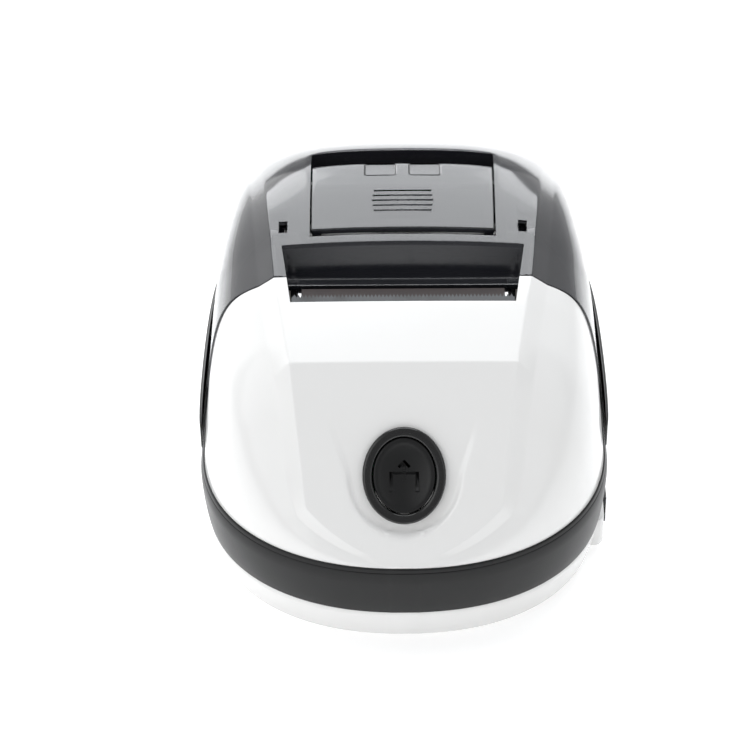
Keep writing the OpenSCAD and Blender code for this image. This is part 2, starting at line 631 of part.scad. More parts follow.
// The bay is the largest round trough between the mechanism and the socket behind it:
// it starts at bay_front, rests on bay_low and just clears the socket's upper edge
bay_room = body_l - port_in - usb[1] - 0.8 - bay_front;
bay_rise = port_z + usb[2] - bay_low;
bay_out = bay_room + bay_rise - sqrt(2 * bay_room * bay_rise);
bay_r = bay_out - bay_t;
bay_y = bay_front + bay_out;
bay_z = bay_low + bay_out;
bay_lip_z = platen_z - 17.5;                    // the front rim guides the label upwards
function bay_point(r, z, s) = [bay_y + s * sqrt(max(0, r * r - pow(z - bay_z, 2))), z];
bay_rim_y = [bay_point(bay_r + bay_t, bay_lip_z, -1)[0], bay_point(bay_r + bay_t, deck_z, 1)[0]];
module bay_arc(r) polygon(concat(
    [for (k = [0:24]) let (a0 = 180 - asin((bay_lip_z - bay_z) / r), a1 = 360 - asin((bay_z - deck_z) / r),
        a = a0 + (a1 - a0) * k / 24) [bay_y + r * cos(a), bay_z + r * sin(a)]],
    [bay_point(r, deck_z + 1.2, 1), [bay_y, deck_z + 1.2], [bay_y - r * 0.7, bay_lip_z]]));
module roll_bay() color([0.25, 0.26, 0.27]) bench() difference() {
    union() {
        plate(-bay_half - bay_t, bay_half + bay_t) bay_arc(bay_r + bay_t);
        // flange on the deck
        both_sides() translate([bay_half, mech_y[1] + 1.4, deck_z])
            cube([bay_t + 4, bay_rim_y[1] - mech_y[1] + 1.6, 1.2]);
        translate([-bay_half, bay_rim_y[1] - 3, deck_z]) cube([2 * bay_half, 6, 1.2]);
    }
    plate(-bay_half, bay_half) {
        intersection() {
            translate([bay_y, bay_z]) circle(r = bay_r, $fn = 120);
            translate([bay_y - bay_r - 1, 0]) square([2 * bay_r + 2, deck_z + bay_r]);
        }
        translate([bay_y - bay_r * 0.6, deck_z]) square([bay_r * 1.5, bay_r]);
    }
    // the cheeks stop at the deck, the front rim carries on
    translate([-body_w, bay_y - bay_r * 0.86, deck_z + 1.2]) cube([2 * body_w, body_l, bay_r]);
}

// ------------------------------------------------------- printing mechanism

side_x = paper_w / 2 + 3.2;                     // inner face of the side plates
gear_x = side_x + plate_t + 1.4;
teeth_platen = 20;
teeth_idler = 30;
teeth_motor = 12;
function pitch_r(n) = n * gear_m / 2;
mesh = 0.1;                                     // backlash added to each centre distance
idler_a = 246;                                  // direction from the platen to the idler
motor_a = 254;                                  // direction from the idler to the motor
idler_d = pitch_r(teeth_platen) + pitch_r(teeth_idler) + mesh;
motor_d = pitch_r(teeth_idler) + pitch_r(teeth_motor) + mesh;
idler_y = platen_y + idler_d * cos(idler_a);
idler_z = platen_z + idler_d * sin(idler_a);
motor_y = idler_y + motor_d * cos(motor_a);
motor_z = idler_z + motor_d * sin(motor_a);
head_face = platen_y - platen_r - slip;         // face of the print head
head_pivot = [head_face - 2.2, platen_z - 9.5];
head_top = platen_z + 6.5;
stud_y = platen_y + 7.3;                        // stud that the latch arms reach behind
stud_z = platen_z - 3.5;
stud_r = 1.2;
bush_r = 3;
cross_h = 9;                                    // height of the front cross wall
motor_l = 15.2;

// Direction in which the platen leaves when the lid rises
away = let (dy = hinge_z - platen_z, dz = hinge_y - platen_y, n = norm([dy, dz])) [-dy / n, dz / n];

module side_plate() plate(0, plate_t) difference() {
    back = platen_y + 11.2;
    top = platen_z + 3.7;
    polygon([[mech_y[0], deck_z], [mech_y[1], deck_z], [mech_y[1], deck_z + 3], [back, deck_z + 3],
        [back, platen_z - 9.5], [back - 1.5, platen_z - 1], [back - 6, platen_z + 3],
        [platen_y - 5.5, top], [platen_y - 9.8, top], [mech_y[0] + 1.5, platen_z - 2]]);
    // open notch for the platen bush
    hull() {
        translate([platen_y, platen_z]) circle(r = bush_r + slip, $fn = 48);
        translate([platen_y + 14 * away[0], platen_z + 14 * away[1]]) circle(r = bush_r + 1.4, $fn = 32);
    }
    translate([motor_y, motor_z]) circle(r = 2.2, $fn = 40);
}
module mechanism_frame() color(steel) bench() difference() {
    union() {
        translate([side_x, 0, 0]) side_plate();
        mirror([1, 0, 0]) translate([side_x, 0, 0]) side_plate();
        translate([-side_x - plate_t, mech_y[0], deck_z])
            cube([2 * (side_x + plate_t), mech_y[1] - mech_y[0], plate_t]);
        // front cross wall that the head springs push against
        translate([-side_x - plate_t, spring_y[0] - plate_t, platen_z - 8.5])
            cube([2 * (side_x + plate_t), plate_t, cross_h]);
        // latch studs
        both_sides() rod(stud_y, stud_z, stud_r, side_x + plate_t / 2, side_x + plate_t + 3.4);
    }
    rod(head_pivot[0], head_pivot[1], pin_r, -side_x - 3, side_x + 3);
    rod(idler_y, idler_z, pin_r, 0, side_x + 3);
    both_sides() post(pillar_x, pillar_y, deck_z - 1, deck_z + 3, screw_r + 0.2);
}
pin_r = 1.2;                                    // pins of the idler and of the head
module idler_pin() color(nickel) bench() {
    rod(idler_y, idler_z, pin_r, side_x, gear_x + gear_t + 0.4);
    rod(idler_y, idler_z, pin_r + 1, gear_x + gear_t + 0.4, gear_x + gear_t + 1);
    rod(idler_y, idler_z, pin_r + 0.5, side_x + plate_t, gear_x - 0.2);
}
module head_pivot_pin() color(nickel) bench()
    rod(head_pivot[0], head_pivot[1], pin_r, -side_x - plate_t - 0.6, side_x + plate_t + 0.6);
module stepper_motor() color(steel) bench() difference() {
    union() {
        rod(motor_y, motor_z, motor_r, side_x - motor_l, side_x, 72);
        rod(motor_y, motor_z, 2.1, side_x, side_x + plate_t);
        // block where the leads enter
        translate([side_x - motor_l + 2, motor_y - motor_r / 2, motor_z - motor_r - 1.8])
            cube([motor_r, motor_r, motor_r / 2]);
    }
    rod(motor_y, motor_z, 0.75 + fit, side_x - 8, side_x + 9);
}
// Spur gear with straight-flanked teeth, its axis along x
module gear(n, bore, turn = 0) {
    r = pitch_r(n);
    a = 360 / n;
    rotate([90, 0, 90]) linear_extrude(gear_t) difference() {
        rotate(turn) polygon([for (k = [0:n - 1]) for (q = [[-0.31, r - 1.15 * gear_m],
                [-0.15, r + 0.9 * gear_m], [0.15, r + 0.9 * gear_m], [0.31, r - 1.15 * gear_m]])
            [q[1] * cos((k + q[0]) * a), q[1] * sin((k + q[0]) * a)]]);
        circle(r = bore, $fn = 48);
    }
}
// The idler's teeth stand in the gaps of both its neighbours
idler_turn = idler_a + 180 - 360 / teeth_idler / 2;
motor_turn = motor_a + 180 + mesh_turn();
function mesh_turn() = let (p = (motor_a - idler_turn) / (360 / teeth_idler), f = p - floor(p))
    (0.5 + f) * 360 / teeth_motor;
module idler_gear() color(acetal) bench() translate([gear_x, idler_y, idler_z])
    gear(teeth_idler, pin_r + fit, idler_turn);
module motor_pinion() color(nickel) bench() {
    translate([gear_x, motor_y, motor_z]) gear(teeth_motor, 0.75, motor_turn);
    rod(motor_y, motor_z, 0.75, side_x - 7, gear_x + gear_t + 0.5, 32);
}
module platen_gear() color(acetal) bench() translate([gear_x, platen_y, platen_z])
    gear(teeth_platen, shaft_r, idler_a);
module platen_shaft() color(steel) bench()
    rod(platen_y, platen_z, shaft_r, -side_x - plate_t - 0.6, gear_x + gear_t + 0.5);
module platen_rubber() color(rubber) bench() difference() {
    rod(platen_y, platen_z, platen_r, -paper_w / 2 + 0.3, paper_w / 2 - 0.3, 96);
    rod(platen_y, platen_z, shaft_r, -paper_w, paper_w);
}
module platen_bushes() color(acetal) bench() both_sides() difference() {
    union() {
        rod(platen_y, platen_z, bush_r, side_x - 0.2, side_x + plate_t + 0.2);
        rod(platen_y, platen_z, bush_r + 0.6, side_x - 1.2, side_x - 0.2);
    }
    rod(platen_y, platen_z, shaft_r + fit, 0, 50);
}

head_x = paper_w / 2 - 0.2;
chip_t = 0.8;                                   // ceramic plate of the print head
chip_h = 12.5;
module heat_sink() color(steel) bench() difference() {
    union() {
        translate([-head_x, head_face - chip_t - sink_t, head_pivot[1] - 2.5])
            cube([2 * head_x, sink_t, head_top - head_pivot[1] + 2.5]);
        // ears on the pivot pin
        rod(head_pivot[0], head_pivot[1], 2.4, -side_x + 0.2, side_x - 0.2);
    }
    rod(head_pivot[0], head_pivot[1], pin_r + fit, -side_x - 1, side_x + 1);
    translate([-head_x - 1, head_face - chip_t, head_pivot[1] - 4])
        cube([2 * head_x + 2, platen_r, head_top - head_pivot[1] + 6]);
}
module print_head() color([0.55, 0.42, 0.33]) bench() {
    // the plate runs down the sink's face and laps over its top
    plate(1 - head_x, head_x - 1) let (y = head_face - chip_t, low = head_top - 0.5 - chip_h)
        polygon([[y, low], [head_face, low], [head_face, head_top + chip_t],
            [y - sink_t, head_top + chip_t], [y - sink_t, head_top], [y, head_top]]);
}
spring_z = platen_z - 2.5;
spring_y = [head_face - 10, head_face - chip_t - sink_t];
module head_springs() color(nickel) bench() both_sides()
    translate([14, spring_y[0], spring_z]) rotate([-90, 0, 0])
        coil(2, 0.3, spring_y[1] - spring_y[0] - 1.1, 4);
// Round-wire coil of n turns between z = 0 and z = length
module coil(r, wire, length, n) {
    per = 12;
    rise = length - 2 * wire;
    rings = [for (k = [0:n * per]) let (a = 360 * k / per, u = [cos(a), sin(a), 0])
        [for (j = [0:4]) let (b = 72 * j)
            (r + wire * cos(b)) * u + [0, 0, wire + rise * k / (n * per) + wire * sin(b)]]];
    loft([for (k = [0:len(rings) - 1]) [for (j = [0:4]) rings[k][4 - j]]]);
}
// Steel blade with a row of pointed teeth along its upper edge
module tear_bar() color(nickel) bench() on_facet(edge_y)
    translate([0, 0, -tear_step - tear_t]) linear_extrude(tear_t) tear_outline();
module tear_outline() {
    tip = (tear_y - edge_y) / cos(facet_a);
    n = floor(2 * tear_x / tooth_pitch);
    x0 = -n * tooth_pitch / 2;
    polygon(concat([[-tear_x, -8.5]], [[tear_x, -8.5], [tear_x, tip - 0.9]],
        [for (k = [0:n - 1]) for (q = [[0, -0.9], [0.5, 0]])
            [-x0 - (k + q[0]) * tooth_pitch, tip + q[1]]], [[-tear_x, tip - 0.9]]));
}
// Plate between the side plates that leads the label to the head
guide_z = [platen_z - 15.5, platen_z - 6.3];
guide_y = [mech_y[1] + 1, platen_y - 2.2];
module paper_guide() color(black_abs) bench() plate(-side_x, side_x)
    polygon([[guide_y[0], guide_z[0]], [guide_y[0] + 1.2, guide_z[0]],
        [guide_y[1] + 1.2, guide_z[1]], [guide_y[1], guide_z[1]]]);
// Gap sensor on the front of that plate
sensor_z = [guide_z[0] + 2, guide_z[0] + 7];
module label_sensor() color(rubber) bench() plate(-9, 3)
    polygon([for (q = [[0, 0], [1, 0], [1, 3], [0, 3]])
        [guide_at(sensor_z[q[0]]) - q[1], sensor_z[q[0]]]]);
function guide_at(z) = guide_y[0] + (guide_y[1] - guide_y[0]) * (z - guide_z[0])
    / (guide_z[1] - guide_z[0]);

// ------------------------------------------------------------------------ lid

lid_y0 = part_y + lid_gap;
lid_low = seam_z + lid_gap;
opening_x = lever_w / 2 + 0.4;
opening_y = lever_y - 2;                        // front edge of the lever opening
well_y = lever_y + lever_l + 0.4;               // where the finger well starts
well_end = well_y + well_l;
ledge_t = 1;                                    // ledge of the recess over the platen
throat_floor = platen_z + platen_r + slip + ledge_t;
throat_foot = lip_y - 3.4;                      // foot of the recess wall
outlet_y = 59.6;                                // rear edge of the label outlet
cheek = 1.6;                                    // wall of the recess
window_x = [33.9, 36.4];
window_y = [69.6, 73.2];

lid_ys = concat([for (k = [0:4]) lid_y0 + (lip_y + 4 - lid_y0) * k / 4],
    [for (k = [1:4]) lip_y + 4 + (crown_y - lip_y - 4) * k / 4],
    [for (k = [1:9]) crown_y + (lid_end - crown_y) * pow(sin(90 * k / 9), 0.9)]);
function lid_rows(i, t) = let (n = len(lid_ys), end = lid_end - i)
    [for (k = [0:n - 1]) let (
            y = lid_y0 + (lid_ys[k] - lid_y0) * (end - lid_y0) / (lid_end - lid_y0))
        section(y, skirt + 0.6 + i, k == n - 1 ? lid_low : max(lid_low, under(y, t)), lid_low)];

function lip_half(y) = tear_x + 0.3 + (lip_x - tear_x - 0.3) * (y - edge_y) / (lip_y - edge_y);
function quad(y0, y1, x0, x1, z) = [[x0, y0, z], [x1, y1, z], [-x1, y1, z], [-x0, y0, z]];
module throat(grow, floor_cut) {
    y1 = throat_foot + grow;
    z2 = crown(lip_y) - (grow > 0 ? wall / 2 + sag(lip_x) : -6);
    k = (z2 - throat_floor) / (crown(lip_y) - throat_floor);
    y3 = throat_foot + grow + (lip_y - throat_foot) * k;
    z0 = throat_floor - floor_cut;
    wedge(quad(lid_y0 - (grow > 0 ? 0 : 2), y1, lip_half(lid_y0) + grow, lip_half(y1) + grow, z0),
        throat_rim(lid_y0 - (grow > 0 ? 0 : 2), y3, grow, z2));
}
// The upper outline follows the slope of the lid
function throat_rim(y0, y1, grow, z) = let (drop = grow > 0 ? crown(lip_y) - crown(lid_y0) : 0)
    [[lip_half(y0) + grow, y0, z - drop], [lip_half(y1) + grow, y1, z],
        [-lip_half(y1) - grow, y1, z], [-lip_half(y0) - grow, y0, z - drop]];

module lid() color(smoke_pc) bench() difference() {
    union() {
        difference() {
            skin(lid_rows(0, 0), lid_rows(inner, wall));
            throat(0, 0);
        }
        difference() {
            throat(cheek, ledge_t);
            throat(0, 0);
        }
        // walls round the finger well, its floor slopes down to the lever
        plate(-opening_x - 1.6, opening_x + 1.6) polygon([
            [well_y - 1.2, under(well_y, wall / 2)], [well_end + 1.4, under(well_end + 1.4, wall / 2)],
            [well_end + 1.4, crown(well_end) - well_d - 1.2], [well_y - 1.2, crown(well_y) - well_d - 1.2]]);
        lever_lugs();
        both_sides() knuckle(knuckle_x, knuckle_x + knuckle_l,
            [[hinge_y - knuckle_r, hinge_z], [lid_end - inner / 2, lid_low + 1],
            [lid_end - inner / 2, lid_low + 7], [hinge_y, hinge_z + knuckle_r]]);
        // pegs that the platen carrier is riveted on
        both_sides() peg(lip_y - 1, carrier_y[1] + 0.8, peg_r);
    }
    // label outlet in front of the ledge
    translate([-lip_half(outlet_y), lid_y0 - 2, throat_floor - 4])
        cube([2 * lip_half(outlet_y), outlet_y - lid_y0 + 2, 8]);
    // opening of the lever, open through the shell
    translate([-opening_x, opening_y, crown(lever_y) - 8])
        cube([2 * opening_x, well_y - 0.9 - opening_y, 20]);
    // finger well
    plate(-opening_x, opening_x) polygon([[well_y - 2, crown(well_y) + 9],
        [well_end, crown(well_end) + 9], [well_end, crown(well_end) - well_d],
        [well_y, crown(well_y) - well_d + 0.4], [well_y - 2, crown(well_y) - well_d + 0.4]]);
    both_sides() translate([window_x[0], window_y[0], crown(window_y[0]) - 9])
        cube([window_x[1] - window_x[0], window_y[1] - window_y[0], 20]);
    rod(axle_y, axle_z, axle_r + fit, -lug_x - lug_t - 1, lug_x + lug_t + 1);
    rod(hinge_y, hinge_z, hinge_pin_r + fit, -60, 60);
}
peg_r = 1.2;
module peg(y0, y1, r) translate([carrier_x - 8, y0, peg_z]) rotate([-90, 0, 0])
    cylinder(r = r, h = y1 - y0, $fn = 32);
// Bearings of the lever axle, hanging from the underside of the lid
lug_x = opening_x + 0.5;
lug_t = 2;
module lever_lugs() both_sides() plate(lug_x, lug_x + lug_t) {
    translate([axle_y, axle_z]) circle(r = axle_r + 1.4, $fn = 32);
    polygon([[axle_y - axle_r - 1.4, axle_z], [axle_y + axle_r + 1.4, axle_z],
        [axle_y + axle_r + 2.4, under(axle_y + 3, wall / 2) - dip(lug_x, axle_y + 3)],
        [axle_y - axle_r - 1.4, under(axle_y - 2, wall / 2) - dip(lug_x, axle_y - 2)]]);
}

// Bracket behind the recess that holds the platen
carrier_x = side_x - 2.6;                       // inner face of its ears
carrier_t = 1.4;
carrier_y = [throat_foot + cheek, lip_y + 3];      // front foot and back of the beam
carrier_z = [75, 86.5];
peg_z = carrier_z[1] - 2.5;
module platen_carrier() color(black_abs) bench() difference() {
    union() {
        // beam against the back of the recess, clear of the platen below
        plate(-carrier_x - carrier_t, carrier_x + carrier_t) polygon([
            [wall_back(carrier_z[1]), carrier_z[1]], [wall_back(throat_floor), throat_floor],
            [platen_y + platen_r + 0.8, throat_floor - 3], [platen_y + platen_r + 0.8, carrier_z[0]],
            [carrier_y[1], carrier_z[0]], [carrier_y[1], carrier_z[1]]]);
        both_sides() plate(carrier_x, carrier_x + carrier_t) {
            translate([platen_y, platen_z]) circle(r = 3.6, $fn = 40);
            polygon([[platen_y, platen_z - 3.6], [carrier_y[1] - 0.5, carrier_z[0]],
                [carrier_y[1] - 0.5, throat_floor - 1.6], [platen_y, platen_z + 3.6]]);
        }
    }
    rod(platen_y, platen_z, shaft_r + fit, -40, 40);
    both_sides() peg(lip_y - 2, carrier_y[1] + 1, peg_r + fit);
}
// Back of the recess wall at height z
function wall_back(z) = throat_foot + cheek + (z - throat_floor + ledge_t)
    * (lip_y - throat_foot) / (crown(lip_y) - throat_floor);

// ---------------------------------------------------------------------- lever

function lever_row(y, drop) = [for (k = [0:8]) let (x = lever_w * (k / 8 - 0.5))
    [x, y, crown(y) - dip(x, y) - drop]];
module open_lever() color(smoke_pc) bench() difference() {
    union() {
        ys = [for (k = [0:6]) lever_y + lever_l * k / 6];
        skin([for (y = ys) lever_row(y, 0)], [for (y = ys) lever_row(y, lever_t)]);
        // pivot blocks at the front corners, down to the axle
        both_sides() plate(lever_w / 2 - 2.8, lever_w / 2 - 0.2) {
            translate([axle_y, axle_z]) circle(r = axle_r + 1.2, $fn = 32);
            polygon([[axle_y - axle_r - 1.2, axle_z], [axle_y + axle_r + 1.2, axle_z],
                [axle_y + 6, crown(axle_y + 6) - dip(lever_w / 2, axle_y + 6) - 1],
                [lever_y + 0.4, crown(lever_y) - dip(lever_w / 2, lever_y) - 1]]);
        }
        // raised grip bars where the finger pulls
        for (k = [-2:2]) on_crown(lever_y + 9 + k * 1.6)
            translate([-8, -0.35, -0.4]) cube([16, 0.7, 0.7]);
    }
    rod(axle_y, axle_z, axle_r, -40, 40);
    // moulded window at the rear edge with its tongue
    translate([-10.2, lever_y + lever_l - 5.2, crown(crown_y) - 0.7]) difference() {
        cube([20.4, 6, 3]);
        translate([8.1, -1, -1]) cube([4.2, 5.6, 6]);
    }
}
module on_crown(y) translate([0, y, crown(y)]) rotate([atan(steep(y)), 0, 0]) children();
arm_x = side_x + plate_t + 1;
arm_t = 2;
module lever_axle() color(steel) bench()
    rod(axle_y, axle_z, axle_r, -arm_x - arm_t, arm_x + arm_t);
// Arms that reach down behind the studs of the mechanism
module latch_arms() color(steel) bench() both_sides() plate(arm_x, arm_x + arm_t) difference() {
    union() {
        translate([axle_y, axle_z]) circle(r = axle_r + 1.3, $fn = 32);
        polygon([[axle_y - 1.6, axle_z], [axle_y + 1.8, axle_z], [stud_y + 4.6, stud_z + 2],
            [stud_y + 4.2, stud_z - 4.2], [nose_y(-4.2), stud_z - 4.2], [nose_y(-1.8), stud_z - 1.8],
            [nose_y(1), stud_z + 1]]);
    }
    translate([axle_y, axle_z]) circle(r = axle_r, $fn = 32);
}
// Front edge of the arm: it keeps clear of the stud all the way as the lid rises
function nose_y(dz) = stud_y + (stud_r + slip + 0.15) / away[1] + dz * away[0] / away[1];
// Coil on the axle between the lid's lug and the left arm
spring_l = 0.73 * (arm_x - lug_x - lug_t);
module lever_spring() color(nickel) bench() translate([-lug_x - lug_t - 0.4 - spring_l, axle_y, axle_z])
    rotate([0, 90, 0]) coil(axle_r + 0.55, 0.3, spring_l, floor(spring_l / 0.9));

lower_base();
belt();
front_cover();
rear_frame();
side_trims();
rubber_feet();
roll_bay();
mechanism_frame();
tear_bar();
stepper_motor();
idler_pin();
head_pivot_pin();
head_springs();
paper_guide();
label_sensor();
main_board();
main_chips();
board_screws();
button_board();
tact_switch();
button_bezel();
interface_board();
usb_socket();
power_jack();
switch_body();
case_screws();
hinge_pins();
lid();
platen_carrier();
platen_bushes();
platen_shaft();
platen_rubber();
platen_gear();
idler_gear();
motor_pinion();
heat_sink();
print_head();
open_lever();
lever_axle();
latch_arms();
lever_spring();
feed_button();
power_rocker();
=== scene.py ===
# %% [markdown]
# # A thermal label printer, dressed in Blender
# The packed CAD model is the fixed frame: it says where every body and node lies.
# Here the moulded shells are built again with finer faces and rounded edges, and
# each surface gets its own procedural finish. Nothing moves away from its CAD place.
# %% Load the packed model
import json
import math
import bmesh
import bpy
from mathutils import Matrix, Vector


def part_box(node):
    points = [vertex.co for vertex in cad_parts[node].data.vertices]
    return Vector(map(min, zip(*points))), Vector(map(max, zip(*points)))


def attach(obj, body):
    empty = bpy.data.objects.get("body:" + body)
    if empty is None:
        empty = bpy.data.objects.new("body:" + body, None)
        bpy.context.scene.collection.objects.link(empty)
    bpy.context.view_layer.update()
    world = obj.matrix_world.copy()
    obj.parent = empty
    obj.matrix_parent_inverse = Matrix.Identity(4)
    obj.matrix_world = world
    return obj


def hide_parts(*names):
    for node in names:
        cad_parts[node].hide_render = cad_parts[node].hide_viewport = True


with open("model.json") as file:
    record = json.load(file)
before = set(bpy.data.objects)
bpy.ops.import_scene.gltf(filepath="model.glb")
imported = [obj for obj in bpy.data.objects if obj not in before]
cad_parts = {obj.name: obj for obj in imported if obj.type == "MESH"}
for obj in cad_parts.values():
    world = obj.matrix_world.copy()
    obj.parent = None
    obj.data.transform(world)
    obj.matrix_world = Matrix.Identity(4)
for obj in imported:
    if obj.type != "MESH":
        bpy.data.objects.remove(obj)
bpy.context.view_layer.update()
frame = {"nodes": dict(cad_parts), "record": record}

nodes = frame["nodes"]

# %% [markdown]
# ## Bench coordinates
# The housing is easiest to describe in millimetres, with y running back from the
# tip of the nose and z up from the table. Sizes could be typed in metres at once,
# but millimetres read like a drawing, so one function turns them into metres.
# %% Bench coordinates
MM = 0.001
LENGTH = 146.0


def spot(x, y, z):
    """A bench point in millimetres as a Blender point in metres."""
    return Vector((x, y - LENGTH / 2, z)) * MM


print("nose tip at", tuple(spot(0, 0, 0)))

# %% [markdown]
# ## The plan of the housing
# Seen from above, a moulded housing like this one is a soft superellipse at the nose
# and a squarer one at the rear. It could be an edited curve, but the base, the belt,
# the cover and the lid share it with different insets and would drift apart.
# Written as a function, one plan serves them all.
# %% Plan
WIDTH, NOSE = 115.4, 49.0
NOSE_POWER, NOSE_FLAT = 2.2, 4.0
REAR_POWER, REAR_FLAT, REAR_TAPER = 5, 0.55, 0.0005


def half_width(y, inset=0.0):
    """Half width of the plan at station y, pulled in by inset."""
    half = WIDTH / 2 - inset
    if y < NOSE:
        t = min(1.0, max(0.0, (NOSE - y) / (NOSE - inset)))
        return max(half * (1 - t**NOSE_POWER) ** (1 / NOSE_POWER), NOSE_FLAT)
    t = min(1.0, (y - NOSE) / (LENGTH - inset - NOSE))
    full = max((1 - t**REAR_POWER) ** (1 / REAR_POWER), REAR_FLAT)
    return (half - REAR_TAPER * (y - NOSE) ** 2) * full


print("half width at the nose's end and near the rear:",
      half_width(NOSE), round(half_width(LENGTH - 10), 2))

# %% [markdown]
# ## The profile
# From the side, the housing climbs two straight facets and then domes over the roll
# of labels. A subdivided box could be pulled into that form, but its facets would
# not stay flat. Here each stretch has its own formula: two slopes, a cubic that
# leaves the second slope without a kink, and a superellipse down to the seam.
# %% Profile
SKIRT, BELT_TOP, SEAM = 1.2, 30.3, 40.0
BREAK_Y, BREAK_Z, FACET = 33.0, 77.3, math.radians(25)
FRONT = math.atan((BREAK_Z - BELT_TOP) / (BREAK_Y - SKIRT))
PART_Y, CROWN_Y, CROWN_Z, LID_END, DOME_POWER = 56.3, 91.0, 97.7, 138.0, 1.91
SOFT, SOFT_END = 7.0, PART_Y - 6


def crown(y):
    """Height of the housing along its middle."""
    top = BREAK_Z + (PART_Y - BREAK_Y) * math.tan(FACET)
    if y <= BREAK_Y:
        return BELT_TOP + (y - SKIRT) * math.tan(FRONT)
    if y <= PART_Y:
        return BREAK_Z + (y - BREAK_Y) * math.tan(FACET)
    if y <= CROWN_Y:
        t = (y - PART_Y) / (CROWN_Y - PART_Y)
        lift = (t - 2 * t * t + t**3) * (CROWN_Y - PART_Y) * math.tan(FACET)
        return (1 - 3 * t * t + 2 * t**3) * top + lift + (3 * t * t - 2 * t**3) * CROWN_Z
    t = min(1.0, (y - CROWN_Y) / (LID_END - CROWN_Y))
    return SEAM + (CROWN_Z - SEAM) * (1 - t**DOME_POWER) ** (1 / DOME_POWER)


def shoulder(y):
    """Height that the flanks follow: the same climb with its break softened."""
    if y > SOFT_END:
        return crown(y)
    reach = min(SOFT, SOFT_END + SOFT - y, max(y - SKIRT, 0.5))
    steps = [crown(y + reach * k / 6) for k in range(-6, 7)]
    return sum(steps) / len(steps)


print("front slope:", round(math.degrees(FRONT), 1), "crown:", crown(CROWN_Y))

# %% [markdown]
# ## Across the roof
# The centre panel between the two creases is nearly flat at the tear bar, has a
# large radius behind it and rounds off over the roll. That could be three patches
# joined by hand. Here it is one drop below the profile at every point, so that the
# cover, the lid and the lever agree on it.
# %% Centre panel
CROSS_RADIUS, GAP = 420, 0.3
EDGE_Y, LIP_Y, LIP_X, TEAR_X = 49.3, 65.9, 33.3, 30.4
CREASE_X, CREASE_RATE, CREASE_REAR = 24.8, 0.185, 0.1
ROUND_START, ROUND_LENGTH, DROOP, DROOP_POWER = 21.0, 40.0, 6.8, 4.2


def ease(t):
    """Goes from 0 to 1 without a corner."""
    t = min(1.0, max(0.0, t))
    return t * t * (3 - 2 * t)


def sag(x):
    """Drop of the centre panel at x, from its large cross radius."""
    return CROSS_RADIUS - math.sqrt(CROSS_RADIUS**2 - x * x)


def bow(y):
    """Share of that drop: the panel is nearly flat across the tear bar."""
    return min(1.0, max(0.15, (y - EDGE_Y) / (LIP_Y - EDGE_Y)))


def crease(y, half):
    """Half width of the centre panel."""
    free = CREASE_X + CREASE_RATE * min(y, PART_Y) + CREASE_REAR * max(0.0, y - PART_Y)
    return min(free, max(0.5 * half, half - 10))


def rounding(y):
    """Share of the rear form: over the roll of labels the roof rounds off."""
    return ease((y - CROWN_Y + ROUND_START) / ROUND_LENGTH)


def dip(x, y):
    """Whole drop of the panel at x: its cross radius and the rounding at the rear."""
    share = min(1.0, abs(x) / crease(y, half_width(y)))
    return bow(y) * sag(x) + DROOP * rounding(y) * share**DROOP_POWER


def lip_half(y):
    """Half width of the label outlet."""
    return TEAR_X + GAP + (LIP_X - TEAR_X - GAP) * min(1.0, (y - EDGE_Y) / (LIP_Y - EDGE_Y))


print("drop at the crease on the crown:", round(dip(crease(CROWN_Y, WIDTH / 2), CROWN_Y), 2))

# %% [markdown]
# ## One cross-section
# Each section has a flat centre panel, a narrow chamfer and a rounded flank that
# falls to the seam. A subdivided cage would give such a form too, but its creases
# wander. Here the flank is a cubic Bezier, and lines lie close together at the ends
# of the chamfer, because a crease reads as crisp when the faces beside it are narrow.
# %% Cross-sections
FLANK, FLANK_EASE = 26, 1.15
CHAMFER_W, CHAMFER_H, FLANK_ANGLE = 4.3, 3.3, 0.454
FLANK_LEAN, FLANK_HIGH, REAR_IN, REAR_LOW = 0.064, 0.85, 2.0, 0.3


def right_side(y, inset, low, panel, top_drop=0.0):
    """Points of the right half at station y, from the middle down to height low."""
    half = half_width(y, inset)
    c = crease(y, half)
    top = max(low + 0.5, crown(y) - top_drop)
    h0 = max(0.5, max(low + 0.5, shoulder(y) - top_drop) - dip(c, y) - low)
    cw = min(CHAMFER_W, 0.25 * (half - c))
    edge = [c, max(low + 0.5, top - min(dip(c, y), (top - low) / 2))]
    h = h0 - min(CHAMFER_H, 0.25 * h0)
    w = half - c - cw
    p0 = Vector((c + cw, low + h))
    fall = -math.sin(FLANK_ANGLE) * min(1.0, h / 12)
    p1 = p0 + 0.6 * w * Vector((math.cos(FLANK_ANGLE), fall))
    g = rounding(y)
    p2 = Vector((half - FLANK_LEAN * h - REAR_IN * g, low + (FLANK_HIGH - REAR_LOW * g) * h))
    p3 = Vector((half, low))
    line = [(x, max(low + 0.5, top - min(dip(x, y), (top - low) / 2))) for x in panel(y, c)]
    for f in (0.0, 0.1, 0.5, 0.9):
        line.append((edge[0] + (p0.x - edge[0]) * f, edge[1] + (p0.y - edge[1]) * f))
    for k in range(FLANK + 1):
        t = (k / FLANK) ** FLANK_EASE
        s = 1 - t
        p = s**3 * p0 + 3 * s * s * t * p1 + 3 * s * t * t * p2 + t**3 * p3
        line.append((p.x, p.y))
    return line


def row(y, inset, low, panel, top_drop=0.0):
    """A whole section as bench points, from the left foot to the right foot."""
    right = right_side(y, inset, low, panel, top_drop)
    left = [(-x, y, z) for x, z in reversed(right[1:])]
    return left + [(x, y, z) for x, z in right]


print("points in a flank:", FLANK + 1)

